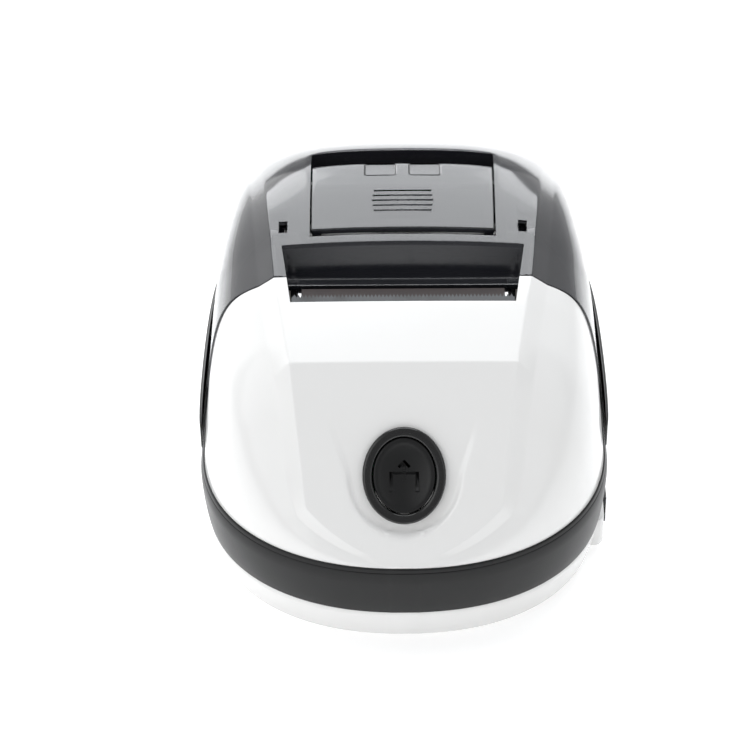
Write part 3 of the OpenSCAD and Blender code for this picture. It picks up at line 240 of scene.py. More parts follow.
# %% [markdown]
# ## Points that become pieces
# Each part of the printer that is built again starts as computed points and faces.
# Primitives from the Add menu would have to be bent into shape. A weld joins points
# that lie on each other, as where two strips meet, so that a piece is one skin with
# its faces outwards. Each piece hangs on the empty of the body it rides on, and the
# CAD nodes it stands for are hidden.
# %% Pieces and welds
def new_object(name, content):
    """Puts a mesh, light or camera into the scene."""
    made = bpy.data.objects.new(name, content)
    bpy.context.scene.collection.objects.link(made)
    return made


def new_mesh(name, shape):
    """Makes a mesh object from bench points and faces."""
    points, faces = shape
    mesh = bpy.data.meshes.new(name)
    mesh.from_pydata([spot(*p) for p in points], [], faces)
    return new_object(name, mesh)


def weld(piece, distance):
    """Joins points that lie on each other and turns all faces outwards."""
    bm = bmesh.new()
    bm.from_mesh(piece.data)
    bmesh.ops.remove_doubles(bm, verts=bm.verts, dist=distance * MM)
    bmesh.ops.recalc_face_normals(bm, faces=bm.faces)
    bm.to_mesh(piece.data)
    bm.free()


def new_piece(name, shape, body, takes=(), merge=0.001):
    """Makes a piece on a body, in place of CAD nodes; points closer than merge join."""
    piece = new_mesh(name, shape)
    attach(piece, body)
    if takes:
        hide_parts(*takes)
    if merge:
        weld(piece, merge)
    return piece


# %% [markdown]
# ## A sheet that becomes a shell
# Injection moulding gives walls of one thickness. Modelling the inner face by hand
# would double the work, so a shell starts as a sheet of quads that a Solidify
# modifier thickens inwards. A Bevel modifier then rounds the edges that are sharp,
# as every moulded edge is a little round.
# %% Walls and rounded edges
def round_off(piece, radius, segments=2, angle=40, wall=0.0):
    """Thickens a sheet if asked, rounds its sharp edges and smooths the rest."""
    for face in piece.data.polygons:
        face.use_smooth = True
    if wall:
        thick = piece.modifiers.new("wall", "SOLIDIFY")
        thick.thickness, thick.offset = wall * MM, -1
    if radius:
        soft = piece.modifiers.new("edges", "BEVEL")
        soft.width, soft.segments = radius * MM, segments
        soft.limit_method, soft.angle_limit = "ANGLE", math.radians(angle)
        soft.use_clamp_overlap = True


print("bevels and walls are given in steps of", MM, "m")

# %% [markdown]
# ## Stacked plan rings
# The white base, the black belt and the collar behind the cover all run round the
# plan. An extruded outline would have upright walls. A loft stacks the same plan
# ring at many heights with a different inset each time, so the tucked-in walls and
# the rounded edges are simply part of the stack.
# %% Plan rings
RING = 44


def ring_faces(rings, count, ends="open"):
    """Quads between stacked rings of points, whose two ends are capped or joined."""
    faces = []
    for r in range(rings - 1):
        for k in range(count):
            a, b = r * count + k, r * count + (k + 1) % count
            faces.append((a, b, b + count, a + count))
    last = (rings - 1) * count
    if ends == "capped":
        faces += [tuple(range(count))[::-1], tuple(range(last, last + count))]
    if ends == "joined":
        faces += [(last + k, last + (k + 1) % count, (k + 1) % count, k) for k in range(count)]
    return faces


def plan_ring(inset):
    """Stations round the plan, from the nose round the right side and back."""
    ys = [inset + (NOSE - inset) * (1 - math.cos(math.pi / 2 * k / RING)) for k in range(RING)]
    ys += [NOSE + (LENGTH - inset - NOSE) * math.sin(math.pi / 2 * k / RING)
           for k in range(RING + 1)]
    right = [(half_width(y, inset), y) for y in ys]
    return right + [(-x, y) for x, y in reversed(right)]


def ring_loft(profile, ends):
    """Skins a stack of (height, inset) rings into a tray or a closed band."""
    points = [(x, y, z) for z, inset in profile for x, y in plan_ring(inset)]
    return points, ring_faces(len(profile), len(plan_ring(0)), ends)


def angles(start, end, steps):
    """Evenly spaced angles in radians, from start to end in degrees."""
    return [math.radians(start + (end - start) * k / steps) for k in range(steps + 1)]


def rounded(z, inset, radius, start, end):
    """(height, inset) pairs round an edge of the stack, from angle start to end."""
    return [(z + radius * math.sin(a), inset - radius * math.cos(a))
            for a in angles(start, end, 5)]


print("points in a plan ring:", len(plan_ring(0)))

# %% [markdown]
# ## The white base
# The base is one tray with a rounded lower edge, and the belt sits on a step of its
# rim. A sheet of constant wall could not give that step, so the profile runs up the
# outside, over the rim and down the inside to the floor.
# %% Base
FOOT, BELT_LOW, WALL = 1.0, 12.5, 2.0
INNER, FLOOR, FOOT_R, STEP = 1.2 * WALL, FOOT + WALL, 1.6, 0.35
BULGE_Z, TUCK, TUCK_POWER, BELT_LEAN = 27.0, 3.8, 1.8, 0.2


def tub_inset(z):
    """How far the base and belt tuck in at height z."""
    if z < BULGE_Z:
        return TUCK * ((BULGE_Z - z) / (BULGE_Z - FOOT)) ** TUCK_POWER
    return (z - BULGE_Z) * BELT_LEAN


def base_profile():
    """Outer wall up from the table, over the rim and down to the floor inside."""
    low = tub_inset(FOOT + FOOT_R)
    outer = rounded(FOOT + FOOT_R, low + FOOT_R, FOOT_R, -90, -20)
    outer += [(z, tub_inset(z)) for z in (FOOT + FOOT_R, 4, 6, 8, 10, 11.6)]
    rim = [(BELT_LOW - 0.1, tub_inset(12) + inset) for inset in (STEP, INNER)]
    return outer + rim + [(FLOOR, tub_inset(FLOOR) + INNER)]


base = new_piece("base_tub", ring_loft(base_profile(), "capped"), "root", ["lower_base"], 0.01)
print("base rings:", len(base_profile()), "faces:", len(base.data.polygons))

# %% [markdown]
# ## Plugs
# Pockets, posts, plates and cutters are all plugs: an outline, the same outline a
# little way off, and the faces between. Blender's own cubes and cylinders would
# need moving and scaling, while points that are computed land in their place.
# %% Plugs
def plug(ring, far_ring):
    """A closed solid between two rings of points."""
    n = len(ring)
    ends = [tuple(range(n))[::-1], tuple(range(n, 2 * n))]
    return ring + far_ring, ends + ring_faces(2, n)


def prism(outline, x0, x1):
    """A plate between x0 and x1 with a side-view outline."""
    return plug(*([(x, y, z) for y, z in outline] for x in (x0, x1)))


def upright(outline, z0, z1):
    """A block between two heights with a plan outline."""
    return plug(*([(x, y, z) for x, y in outline] for z in (z0, z1)))


def block(x0, x1, y0, y1, z0, z1):
    """A box, for slots."""
    return prism([(y0, z0), (y1, z0), (y1, z1), (y0, z1)], x0, x1)


def circle(count):
    """Angles in radians round a full circle."""
    return [2 * math.pi * k / count for k in range(count)]


def disc(x, y, z0, z1, radius, count=40):
    """An upright round plug, for holes and posts."""
    ring = [(x + radius * math.cos(a), y + radius * math.sin(a)) for a in circle(count)]
    return upright(ring, z0, z1)


print("faces of a block and a disc:", len(block(0, 1, 0, 1, 0, 1)[1]), len(disc(0, 0, 0, 1, 1)[1]))

# %% [markdown]
# ## Cutting holes
# Slots, screw pockets and engraved signs are holes in a wall that already has its
# form. Building the wall round them point by point would spoil its even faces, so
# closed plugs are taken away with an exact Boolean, which is applied at once.
# %% Cuts
def gather(parts):
    """Puts several (points, faces) lists into one."""
    points, faces = [], []
    for some_points, some_faces in parts:
        start = len(points)
        points += list(some_points)
        faces += [tuple(start + k for k in face) for face in some_faces]
    return points, faces


def cut(piece, parts):
    """Takes closed shapes out of a piece with an exact Boolean, and applies it."""
    cutter = new_mesh("cutter", gather(parts))
    weld(cutter, 0.001)
    away = piece.modifiers.new("cut", "BOOLEAN")
    away.operation, away.object, away.solver = "DIFFERENCE", cutter, "EXACT"
    bpy.context.view_layer.update()
    graph = bpy.context.evaluated_depsgraph_get()
    result = bpy.data.meshes.new_from_object(piece.evaluated_get(graph))
    piece.modifiers.clear()
    piece.data = result
    bpy.data.objects.remove(cutter)


print("points of two cutters:", len(gather([block(0, 1, 0, 1, 0, 1), disc(0, 0, 0, 1, 1)])[0]))

# %% [markdown]
# ## Openings in the base
# Real bases are pierced by vents under the board and by pockets for the case
# screws. One Boolean takes them all: each cut costs time, and a single pass also
# leaves cleaner edges than a chain of them.
# %% Vents and screw pockets
POSTS, POCKET_R = [(38, 24), (43, 122)], 2.8
VENT_W, VENT_PITCH, VENT_Y = 2.4, 6, (48, 74)
holes = [block(VENT_PITCH * k - VENT_W / 2, VENT_PITCH * k + VENT_W / 2, *VENT_Y, -1, 8)
         for k in range(-3, 4)]
holes += [disc(s * x, y, -1, FLOOR + 1.4, POCKET_R) for s in (-1, 1) for x, y in POSTS]
round_off(base, 0.25)
cut(base, holes)
print("base faces after the cuts:", len(base.data.polygons))

# %% [markdown]
# ## The switch boss
# A boss on the right carries the power switch. It could be a box with a wide bevel,
# but only its outer corners turn, so it is a plug with a drawn outline.
# %% Switch boss
BOSS_X, BOSS_L, BOSS_R, BOSS_D = WIDTH / 2 - 0.7, 34, 3, 9
BOSS_Z = (FOOT + 1.2, BELT_LOW - 0.2)
ROCKER_Y, ROCKER_Z, ROCKER_L, ROCKER_H = 54.0, 7.35, 13.6, 8.6


def boss():
    """Housing of the power switch: a block whose outer corners are turned."""
    y0, y1, r = ROCKER_Y - BOSS_L / 2, ROCKER_Y + BOSS_L / 2, BOSS_R
    arc = [(BOSS_X - r + r * math.cos(a), r * math.sin(a)) for a in angles(-90, 0, 6)]
    outline = [(BOSS_X - BOSS_D, y0)] + [(x, y0 + r + y) for x, y in arc]
    outline += [(x, y1 - r - y) for x, y in reversed(arc)] + [(BOSS_X - BOSS_D, y1)]
    return upright(outline, *BOSS_Z)


switch_boss = new_piece("switch_boss", boss(), "root", merge=0)
cut(switch_boss, [block(BOSS_X - 8, BOSS_X + 2, ROCKER_Y - ROCKER_L / 2, ROCKER_Y + ROCKER_L / 2,
                        ROCKER_Z - ROCKER_H / 2, ROCKER_Z + ROCKER_H / 2)])
round_off(switch_boss, 0.6, 3)
print("boss faces:", len(switch_boss.data.polygons))

# %% [markdown]
# ## The belt
# The belt is satin black ABS and the widest part of the printer. It has a fine
# groove just below its rim, where the mould parts. A line in the bump would vanish
# at the outline, so the stack of rings gets a narrow V at that height.
# %% Belt
GROOVE_Z, GROOVE_W, GROOVE_D = 29.0, 0.3, 0.22
LOWER_R, RIM_R = 0.45, 0.5


def belt_profile():
    """Outer face from the lower edge to the rim, then down the inside."""
    low = rounded(BELT_LOW + LOWER_R, tub_inset(BELT_LOW) + LOWER_R, LOWER_R, -90, 0)
    walls = [(z, tub_inset(z)) for z in (14, 16, 18, 20.5, 23, 25, 27, 28.2)]
    groove = [(z, tub_inset(z) + depth) for z, depth in (
        (GROOVE_Z - GROOVE_W / 2, 0), (GROOVE_Z, GROOVE_D), (GROOVE_Z + GROOVE_W / 2, 0))]
    rim = rounded(BELT_TOP - RIM_R, tub_inset(BELT_TOP) + RIM_R, RIM_R, 0, 90)
    inside = [(BELT_TOP, tub_inset(BELT_TOP) + INNER), (BELT_LOW, tub_inset(BELT_LOW) + INNER)]
    return low + walls + groove + rim + inside


belt = new_piece("belt_band", ring_loft(belt_profile(), "joined"), "root", ["belt"], 0.01)
round_off(belt, 0.25)
print("belt faces:", len(belt.data.polygons))

# %% [markdown]
# ## Windows for the sockets
# The cable sockets at the rear look out through the belt. The place of each window
# could be typed in again, but the socket's own box in the packed model already
# says it, so the hole is that box with a little air round it.
# %% Socket windows
def window(box, spare=0.3):
    """A hole in the rear wall round a socket, from the socket's own box."""
    low, high = box
    return block(low.x / MM - spare, high.x / MM + spare, LENGTH - 8, LENGTH + 4,
                 low.z / MM - spare, high.z / MM + spare)


cut(belt, [window(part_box(name)) for name in ("usb_socket", "power_jack")])
print("belt faces after the cuts:", len(belt.data.polygons))

# %% [markdown]
# ## A grid of sections
# The cover and the lid are skins over a row of cross-sections. A skin could be drawn
# as a patch of splines, but openings are easier in a plain grid: a cell that is left
# out is a hole with a clean border.
# %% Grids
def grid_faces(rows, columns, keep=lambda r, c: True):
    """Quads of a grid of points, row after row, except the cells that keep refuses."""
    faces = []
    for r in range(rows - 1):
        for c in range(columns - 1):
            if keep(r, c):
                a = r * columns + c
                faces.append((a, a + 1, a + columns + 1, a + columns))
    return faces


def sheet(lines, keep=lambda r, c: True):
    """Lines of points as a grid."""
    return [p for line in lines for p in line], grid_faces(len(lines), len(lines[0]), keep)


def spread(stops, step):
    """Stations from one stop to the next, at most step apart."""
    ys = [stops[0]]
    for a, b in zip(stops, stops[1:]):
        n = max(1, math.ceil((b - a) / step))
        ys += [a + (b - a) * k / n for k in range(1, n + 1)]
    return ys


print("faces of a small grid:", len(grid_faces(4, 5)), "stations:", spread([0, 1, 4], 1.5))

# %% [markdown]
# ## The button's dish
# Round the button the lower facet sinks into a shallow dish with a U-shaped border,
# deepest at the bottom. A Boolean would leave a hard edge there, so the dish is a
# depth at every point, and the sheet's own points are moved by it.
# %% Dish
BUTTON_Z = 51.6
BUTTON_Y = SKIRT + (BUTTON_Z - BELT_TOP) / math.tan(FRONT)
DISH_W, DISH_H, DISH_DEPTH, DISH_BORDER = 16.0, 17.2, 1.3, 1.5
DISH_TOP, DISH_FADE, DISH_FLARE = 21, 34, 0.32


def dish(x, y):
    """Depth of the button dish at a point of the lower facet, in millimetres."""
    up = (y - BUTTON_Y) / math.cos(FRONT)
    floor = DISH_DEPTH * ease((DISH_TOP - up) / DISH_FADE)
    reach = DISH_W + DISH_FLARE * max(0.0, up)
    if up < 0:
        reach = DISH_W * math.sqrt(max(0.0, 1 - (up / DISH_H) ** 2))
    edge = reach - abs(x)
    if up < 0:
        edge = min(edge, DISH_H * math.sqrt(max(0.0, 1 - (x / DISH_W) ** 2)) + up)
    return floor * ease(edge / DISH_BORDER)


def sunk(x, y, z):
    """A point of the cover, moved square to the lower facet by the dish."""
    sink = dish(x, y) if y < BREAK_Y else 0.0
    return (x, y + sink * math.sin(FRONT), z - sink * math.cos(FRONT))


print("dish at the button's lower edge:", round(dish(0, BUTTON_Y - 8), 2), "mm")

# %% [markdown]
# ## The nose cover
# The glossy white cover is the face of the printer, and every crease on it shows in
# its gloss. An even grid would cut across them. Here the sheet has a line of faces
# along every feature: the break between the two facets, the edges of the outlet and
# the chamfers.
# %% Nose cover
PANEL_STEPS, NOSE_STEPS, NOSE_START, NOSE_BEND = 44, 22, SKIRT + 0.03, 10


def cover_panel(y, c):
    """Stations across the panel; one line follows the side of the outlet."""
    side = min(lip_half(y), c - 0.6) if y > BREAK_Y else (c - 0.6) * 0.965
    inner = [side * k / PANEL_STEPS for k in range(PANEL_STEPS + 1)]
    return inner + [side + (c - side) * 0.8]


nose_ys = [NOSE_START + (NOSE_BEND - NOSE_START) * (k / NOSE_STEPS) ** 2
           for k in range(NOSE_STEPS)]
cover_ys = nose_ys + spread([NOSE_BEND, 28, BREAK_Y - 0.35, BREAK_Y, BREAK_Y + 0.35], 0.55)
cover_ys += spread([BREAK_Y + 0.35, EDGE_Y - 0.5, EDGE_Y, PART_Y - 0.5, PART_Y], 1.2)[1:]
cover_rows = [row(y, SKIRT, BELT_TOP, cover_panel) for y in cover_ys]
middle = len(cover_rows[0]) // 2


def cover_cell(r, c):
    """Leaves out the label outlet."""
    return not (cover_ys[r] >= EDGE_Y - 0.01 and abs(c + 0.5 - middle) < PANEL_STEPS)


shape = sheet([[sunk(*p) for p in line] for line in cover_rows], cover_cell)
cover = new_piece("nose_cover", shape, "root", ["front_cover"], 0.002)
round_off(cover, 0.3, wall=WALL * 0.9)
print("cover grid:", len(cover_ys), "x", len(cover_rows[0]))

# %% [markdown]
# ## The hole for the button
# The button comes through the cover square to the slope. Turning a cutter by hand
# would be guesswork, so one function places any point by its distance across, up
# and out of the slope, and the oval cutter is a plug between two such outlines.
# %% Button hole
HOLE_W, HOLE_H = 20.0, 24.0


def on_slope(u, v, w):
    """A point of the front slope: u across, v up the slope, w out of it."""
    return (u, BUTTON_Y + v * math.cos(FRONT) - w * math.sin(FRONT),
            BUTTON_Z + v * math.sin(FRONT) + w * math.cos(FRONT))


def sloped(outline, low, high):
    """A block square to the front slope with an outline round the button's centre."""
    return plug(*([on_slope(u, v, w) for u, v in outline] for w in (low, high)))


def oval(width, height, count=64):
    """An oval outline."""
    return [(width / 2 * math.cos(a), height / 2 * math.sin(a)) for a in circle(count)]


cut(cover, [sloped(oval(HOLE_W, HOLE_H), -12, 12)])
print("cover faces:", len(cover.data.polygons))

# %% [markdown]
# ## The smoked lid
# The lid is one moulding of smoked polycarbonate. Its roof has the label outlet at
# the front, the opening for the lever with a finger well behind it, and two small
# snap windows. Openings cut by Booleans leave slivers on a curved roof, so the
# lines of the sheet are laid along the edges of the openings.
# %% Stations of the lid
LEVER_W, LEVER_Y, LEVER_L, LEVER_T = 50.4, 70.0, 23.7, 1.8
OPEN_X, OPEN_Y = LEVER_W / 2 + 0.4, LEVER_Y - 2
WELL_Y, WELL_END, WELL_D = LEVER_Y + LEVER_L + 0.4, LEVER_Y + LEVER_L + 8.2, 7.0
LEDGE_Z, LEDGE_Y, FOOT_Y = 81.8, 59.6, LIP_Y - 3.4
LID_Y0, LID_LOW = PART_Y + GAP, SEAM + GAP
SNAP_Y = (69.6, 73.2)
OPEN_LINES, OUTLET_LINES = 14, 19


def lid_panel(y, c):
    """Stations across the roof: lever opening, outlet side, snap window, crease."""
    side = lip_half(y)
    line = [OPEN_X * k / OPEN_LINES for k in range(OPEN_LINES + 1)]
    line += [OPEN_X + (side - OPEN_X) * k / 5 for k in range(1, 6)]
    return line + [side + (c - side) * f for f in (0.25, 0.45, 0.68, 0.9)]


def leaned(y):
    """Where the foot of the outlet's side wall lies: the back wall leans."""
    return LID_Y0 + (y - LID_Y0) * (FOOT_Y - LID_Y0) / (LIP_Y - LID_Y0)


ledge_start = LID_Y0 + (LEDGE_Y - LID_Y0) * (LIP_Y - LID_Y0) / (FOOT_Y - LID_Y0)
dome = [CROWN_Y + (LID_END - CROWN_Y) * math.sin(a) ** 0.9 for a in angles(0, 90, 34)]
dome = [y for y in dome if y > WELL_END + 0.5]
lid_ys = spread([LID_Y0, LID_Y0 + 0.4, ledge_start, LIP_Y - 0.5, LIP_Y, LIP_Y + 0.5, OPEN_Y,
                 *SNAP_Y, WELL_Y - 1.2, WELL_END], 1.3) + dome
rows = [row(y, SKIRT + 0.6, LID_LOW, lid_panel) for y in lid_ys]
middle = len(rows[0]) // 2


print("stations along the lid:", len(lid_ys))

# %% [markdown]
# ## Openings as missing cells
# The outlet, the lever opening and the snap windows are blocks of cells that the
# sheet leaves out. They could be picked in edit mode, but a changed size would then
# ask for new picking, while a rule finds the rows nearest to each edge by itself.
# %% Cells of the lid
def nearest(y):
    """Index of the row at station y."""
    return min(range(len(lid_ys)), key=lambda r: abs(lid_ys[r] - y))


lip_row, open_row, well_row, end_row, snap_row, snap_end = (
    nearest(y) for y in (LIP_Y, OPEN_Y, WELL_Y - 1.2, WELL_END) + SNAP_Y)


def lid_cell(r, c):
    """Leaves out the outlet, the lever opening and the snap windows."""
    off = abs(c + 0.5 - middle)
    if r < lip_row and off < OUTLET_LINES:
        return False
    if open_row <= r < end_row and off < OPEN_LINES:
        return False
    return not (snap_row <= r < snap_end and OUTLET_LINES - 1 < off < OUTLET_LINES + 1)


print("lid grid:", len(lid_ys), "x", len(rows[0]))

# %% [markdown]
# ## Walls inside the openings
# The outlet has three walls that lean down to a ledge, the finger well has walls that
# go straight down, and a low flange runs round the lever. They could be extruded and
# trimmed one by one. Here a strip hangs from a line of the sheet's own points, and a
# small function says where the foot of each point lies.
# %% Hanging walls
FLANGE = 2.6


def hanging(top, foot, levels):
    """A strip of faces from a line of points down to the foot of each."""
    return sheet([[tuple(Vector(p).lerp(Vector(foot(p)), k / levels)) for p in top]
                  for k in range(levels + 1)])


def across(r, reach):
    """Sheet points of a row, so many columns to both sides of the middle."""
    return rows[r][middle - reach:middle + reach + 1]


def u_line(first, last, reach):
    """Sheet points down the left side of an opening, along its back and up the right."""
    left, right = ([rows[r][middle + d] for r in range(first, last)] for d in (-reach, reach))
    return left + across(last, reach) + right[::-1]


def outlet_foot(p):
    """Foot of the outlet's wall below a point of its edge."""
    y = leaned(p[1])
    return (p[0] * lip_half(y) / lip_half(p[1]), y, LEDGE_Z)


def well_foot(p):
    """Foot of the finger well's wall; its floor falls towards the lever."""
    return (p[0], p[1], crown(p[1]) - WELL_D)


def frame_foot(p):
    """Foot of the low flange round the lever opening."""
    return (p[0], p[1], p[2] - FLANGE)


print("points on the rim of the outlet:", len(u_line(0, lip_row, OUTLET_LINES)))

# %% [markdown]
# ## The lid in one piece
# The roof, the walls of the outlet with its ledge, the finger well with its floor
# and the flange are one moulding. As separate shells they would let light through
# at the joints. A weld joins the strips to the roof, since they start on its own
# points, and one Solidify gives the whole lid the same wall.
# %% Lid
LID_WALL = 1.8
ledge = [[outlet_foot((x * lip_half(lid_ys[r]) / LIP_X, lid_ys[r], 0))
          for x, _, _ in across(lip_row, OUTLET_LINES)]
         for r in range(nearest(ledge_start), lip_row + 1)]
floor = [[well_foot((x, lid_ys[r], 0)) for x, _, _ in across(end_row, OPEN_LINES)]
         for r in range(well_row, end_row + 1)]
parts = [sheet(rows, lid_cell),
         hanging(u_line(0, lip_row, OUTLET_LINES), outlet_foot, 8), sheet(ledge),
         hanging(u_line(well_row, end_row, OPEN_LINES), well_foot, 6), sheet(floor)]
for side in (-1, 1):
    edge = [rows[r][middle + side * OPEN_LINES] for r in range(open_row, well_row + 1)]
    parts.append(hanging(edge, frame_foot, 2))
parts.append(hanging(across(open_row, OPEN_LINES), frame_foot, 2))
lid = new_piece("lid_shell", gather(parts), "lid_body", ["lid"], 0.002)
round_off(lid, 0.28, 2, 42, wall=LID_WALL)
print("lid sheet faces:", len(lid.data.polygons))

# %% [markdown]
# ## Fittings under the lid
# Two knuckles hang the lid on its pins, two lugs carry the lever's axle, and round
# posts stiffen the roof: they show through the smoke as faint discs. A block behind
# each snap window catches the hook, so the window looks dark. All of it is seen
# through the smoke or from below only, so plain plates and plugs are enough.
# %% Knuckles, lugs, posts and blocks
HINGE, HINGE_R, KNUCKLE_X = (141.0, 42.4), 2.6, (30, 39)
AXLE, LUG_R, LUG_X, LUG_T = (72.3, 88.6), 2.65, 26.1, 2
POST, POST_R, POST_H = (34.6, 79.5), 3.0, 3
CATCH_X, CATCH_Y, CATCH_H, CATCH_DROP = (30.9, 35.1), (68.6, 75.5), 3.4, 5
ROOF_X, ROOF_Y = 34, 69.0


def round_end(centre, radius, start, end):
    """Points of an arc in the side view, angles in degrees."""
    return [(centre[0] + radius * math.cos(a), centre[1] + radius * math.sin(a))
            for a in angles(start, end, 14)]


def mirrored(outline, side, x0, x1):
    """A plate between two distances from the middle, on one side."""
    return prism(outline, *sorted((side * x0, side * x1)))


def underside(y, x, depth=0.9):
    """Height just inside the lid's roof."""
    return crown(y) - depth - dip(x, y)


fittings = []
for side in (-1, 1):
    eye = round_end(HINGE, HINGE_R, 90, -180)
    eye += [(LID_END - 1.2, LID_LOW + 1), (LID_END - 1.2, LID_LOW + 7)]
    fittings.append(mirrored(eye[::-1], side, *KNUCKLE_X))
    lug = round_end(AXLE, LUG_R, 180, 360)
    lug += [(AXLE[0] + up, underside(AXLE[0] + at, LUG_X)) for up, at in ((3.6, 3), (-2.6, -2))]
    fittings.append(mirrored(lug, side, LUG_X, LUG_X + LUG_T))
    roof = underside(POST[1], ROOF_X)
    fittings.append(disc(side * POST[0], POST[1], roof - POST_H, roof, POST_R))
    low = underside(ROOF_Y, ROOF_X) - CATCH_DROP
    fittings.append(block(*sorted(side * x for x in CATCH_X), *CATCH_Y, low, low + CATCH_H))
lid_fittings = new_piece("lid_fittings", gather(fittings), "lid_body")
round_off(lid_fittings, 0.2)
print("fittings:", len(fittings))

# %% [markdown]
# ## The lever
# The lever is a panel that carries on the roof's own curve. It turns on an axle at
# its front edge, and a finger in the well behind lifts it. It could be cut out of
# the roof, but a grid of its own has a clean rim. Two stepped windows mark the clip
# at its rear edge.
# %% Opening lever
CLIP_X, CLIP_W, CLIP_L, CLIP_D = 2.1, 8.1, 5.2, 0.7


def lever_height(x, y):
    """Height of the lever's top, flush with the roof."""
    return crown(y) - dip(x, y)


def lever_plate():
    """A closed curved plate with the roof's form."""
    nx, ny = 40, 20
    flat = [(LEVER_W * (i / nx - 0.5), LEVER_Y + LEVER_L * j / ny)
            for j in range(ny + 1) for i in range(nx + 1)]
    points = [(x, y, lever_height(x, y) - drop) for drop in (0.0, LEVER_T) for x, y in flat]
    count = len(flat)
    faces = grid_faces(ny + 1, nx + 1)
    faces += [tuple(count + k for k in reversed(face)) for face in faces]
    rim = list(range(nx + 1)) + [r * (nx + 1) + nx for r in range(1, ny + 1)]
    rim += [ny * (nx + 1) + k for k in range(nx - 1, -1, -1)]
    rim += [r * (nx + 1) for r in range(ny - 1, 0, -1)]
    faces += [(a, a + count, b + count, b) for a, b in zip(rim, rim[1:] + rim[:1])]
    return points, faces


lever = new_piece("lever_panel", lever_plate(), "lever", ["open_lever"])
round_off(lever, 0.3, 3)
back = LEVER_Y + LEVER_L
step_z = lever_height(0, back)
cut(lever, [block(x, x + CLIP_W, back - CLIP_L, back + 1, step_z - CLIP_D, step_z + 3)
            for x in (-CLIP_X - CLIP_W, CLIP_X)])
print("lever faces:", len(lever.data.polygons))

# %% [markdown]
# ## Bars and ears of the lever
# Five low bars give the fingertip something to feel, and two ears under the front
# edge turn on the axle. The bars could be an array of one cube, but they get shorter
# to both sides and their feet follow the roof, so a loop works each one out.
# %% Lever bars and ears
BAR_Y, BAR_PITCH, BAR_HALF, BAR_STEP = 9, 1.7, 8.5, 0.25
BAR_SECTION = ((-0.36, -0.5), (0.36, -0.5), (0.3, 0.28), (-0.3, 0.28))
EAR_R, EAR_X = 2.45, (22.4, 25.0)
bars = []
for k in range(-2, 3):
    y = LEVER_Y + BAR_Y + BAR_PITCH * k
    z, slope = lever_height(0, y), lever_height(0, y + 0.5) - lever_height(0, y - 0.5)
    half = BAR_HALF - BAR_STEP * abs(k)
    bars.append(prism([(y + a, z + b + a * slope) for a, b in BAR_SECTION], -half, half))
for side in (-1, 1):
    ear = round_end(AXLE, EAR_R, 180, 360)
    ear += [(AXLE[0] + 6, lever_height(25, AXLE[0] + 6) - 1),
            (LEVER_Y + 0.4, lever_height(25, LEVER_Y) - 1)]
    bars.append(mirrored(ear, side, *EAR_X))
grips = new_piece("lever_grips", gather(bars), "lever")
round_off(grips, 0.15)
print("bars and ears:", len(bars))

# %% [markdown]
# ## Collar and deck
# Behind the cover a black collar carries on inside the belt up to the lid, with a
# deck across it that holds the roll bay. Both follow the plan all the way round and
# then lose what lies under the cover: that is simpler than an outline with two open
# ends, and the cut faces come out flat.
# %% Rear collar
def collar_profile():
    """Outer face of the collar from the belt up to the lid, and down the inside."""
    return [(BELT_TOP - 0.4, SKIRT), (34, SKIRT + 0.2), (SEAM - 0.35, SKIRT + 0.58),
            (SEAM - 0.1, SKIRT + 0.68), (SEAM, SKIRT + 0.95), (SEAM, SKIRT + 0.6 + INNER),
            (BELT_TOP - 0.4, SKIRT + INNER)]


FORWARD = block(-90, 90, -10, PART_Y + GAP, 0, 60)
DECK, BAY = (36.0, 38.0), (-31.7, 31.7, 62.3, 134.5)
shape = ring_loft(collar_profile(), "joined")
collar = new_piece("rear_collar", shape, "root", ["rear_frame"], 0.01)
cut(collar, [FORWARD])
round_off(collar, 0)
deck = new_piece("rear_deck", upright(plan_ring(SKIRT + INNER - 0.3), *DECK), "root", merge=0.01)
cut(deck, [FORWARD, block(*BAY, 30, 60)])
round_off(deck, 0.2)
print("collar and deck faces:", len(collar.data.polygons), len(deck.data.polygons))

# %% [markdown]
# ## Hinge ears and screw posts
# Two ears stand on the deck and hold the hinge pins, and two posts under it take the
# rear case screws. They could be joined to the deck's mesh, but as a piece of their
# own they need no new edges in its faces: they simply stand on it.
# %% Hinge ears
EAR_FOOT, HINGE_EAR_X = 36.9, (39.3, 45.2)
POST_X, POST_Y = POSTS[1]
SCREW_POST_R, PILOT_R = 3.2, 1.3
fixtures = []
for side in (-1, 1):
    ear = round_end(HINGE, HINGE_R, 0, 180)
    ear += [(HINGE[0] - HINGE_R, EAR_FOOT), (HINGE[0] + HINGE_R, EAR_FOOT)]
    fixtures.append(mirrored(ear[::-1], side, *HINGE_EAR_X))
    fixtures.append(disc(side * POST_X, POST_Y, FLOOR + 4, DECK[0], SCREW_POST_R))
ears = new_piece("hinge_ears", gather(fixtures), "root")
cut(ears, [disc(side * POST_X, POST_Y, FLOOR, FLOOR + 18, PILOT_R) for side in (-1, 1)])
round_off(ears, 0.2)
print("ear and post faces:", len(ears.data.polygons))

# %% [markdown]
# ## Side pads
# Two gloss pads clip over the seam at the sides. A bevelled bar would keep one
# section, while their ends thin out, so each is a loft of rounded sections that
# swell and shrink along its length and bend with the plan.
# %% Side pads
PAD_Y, PAD_L, PAD_Z, PAD_H, PAD_R = 46, 69, 37.3, 6.3, 0.85
STATIONS = 60


def swell(t):
    """How full a pad is along its length, 0 to 1."""
    return max(0.02, 1 - abs(2 * t - 1) ** 5) ** 0.5


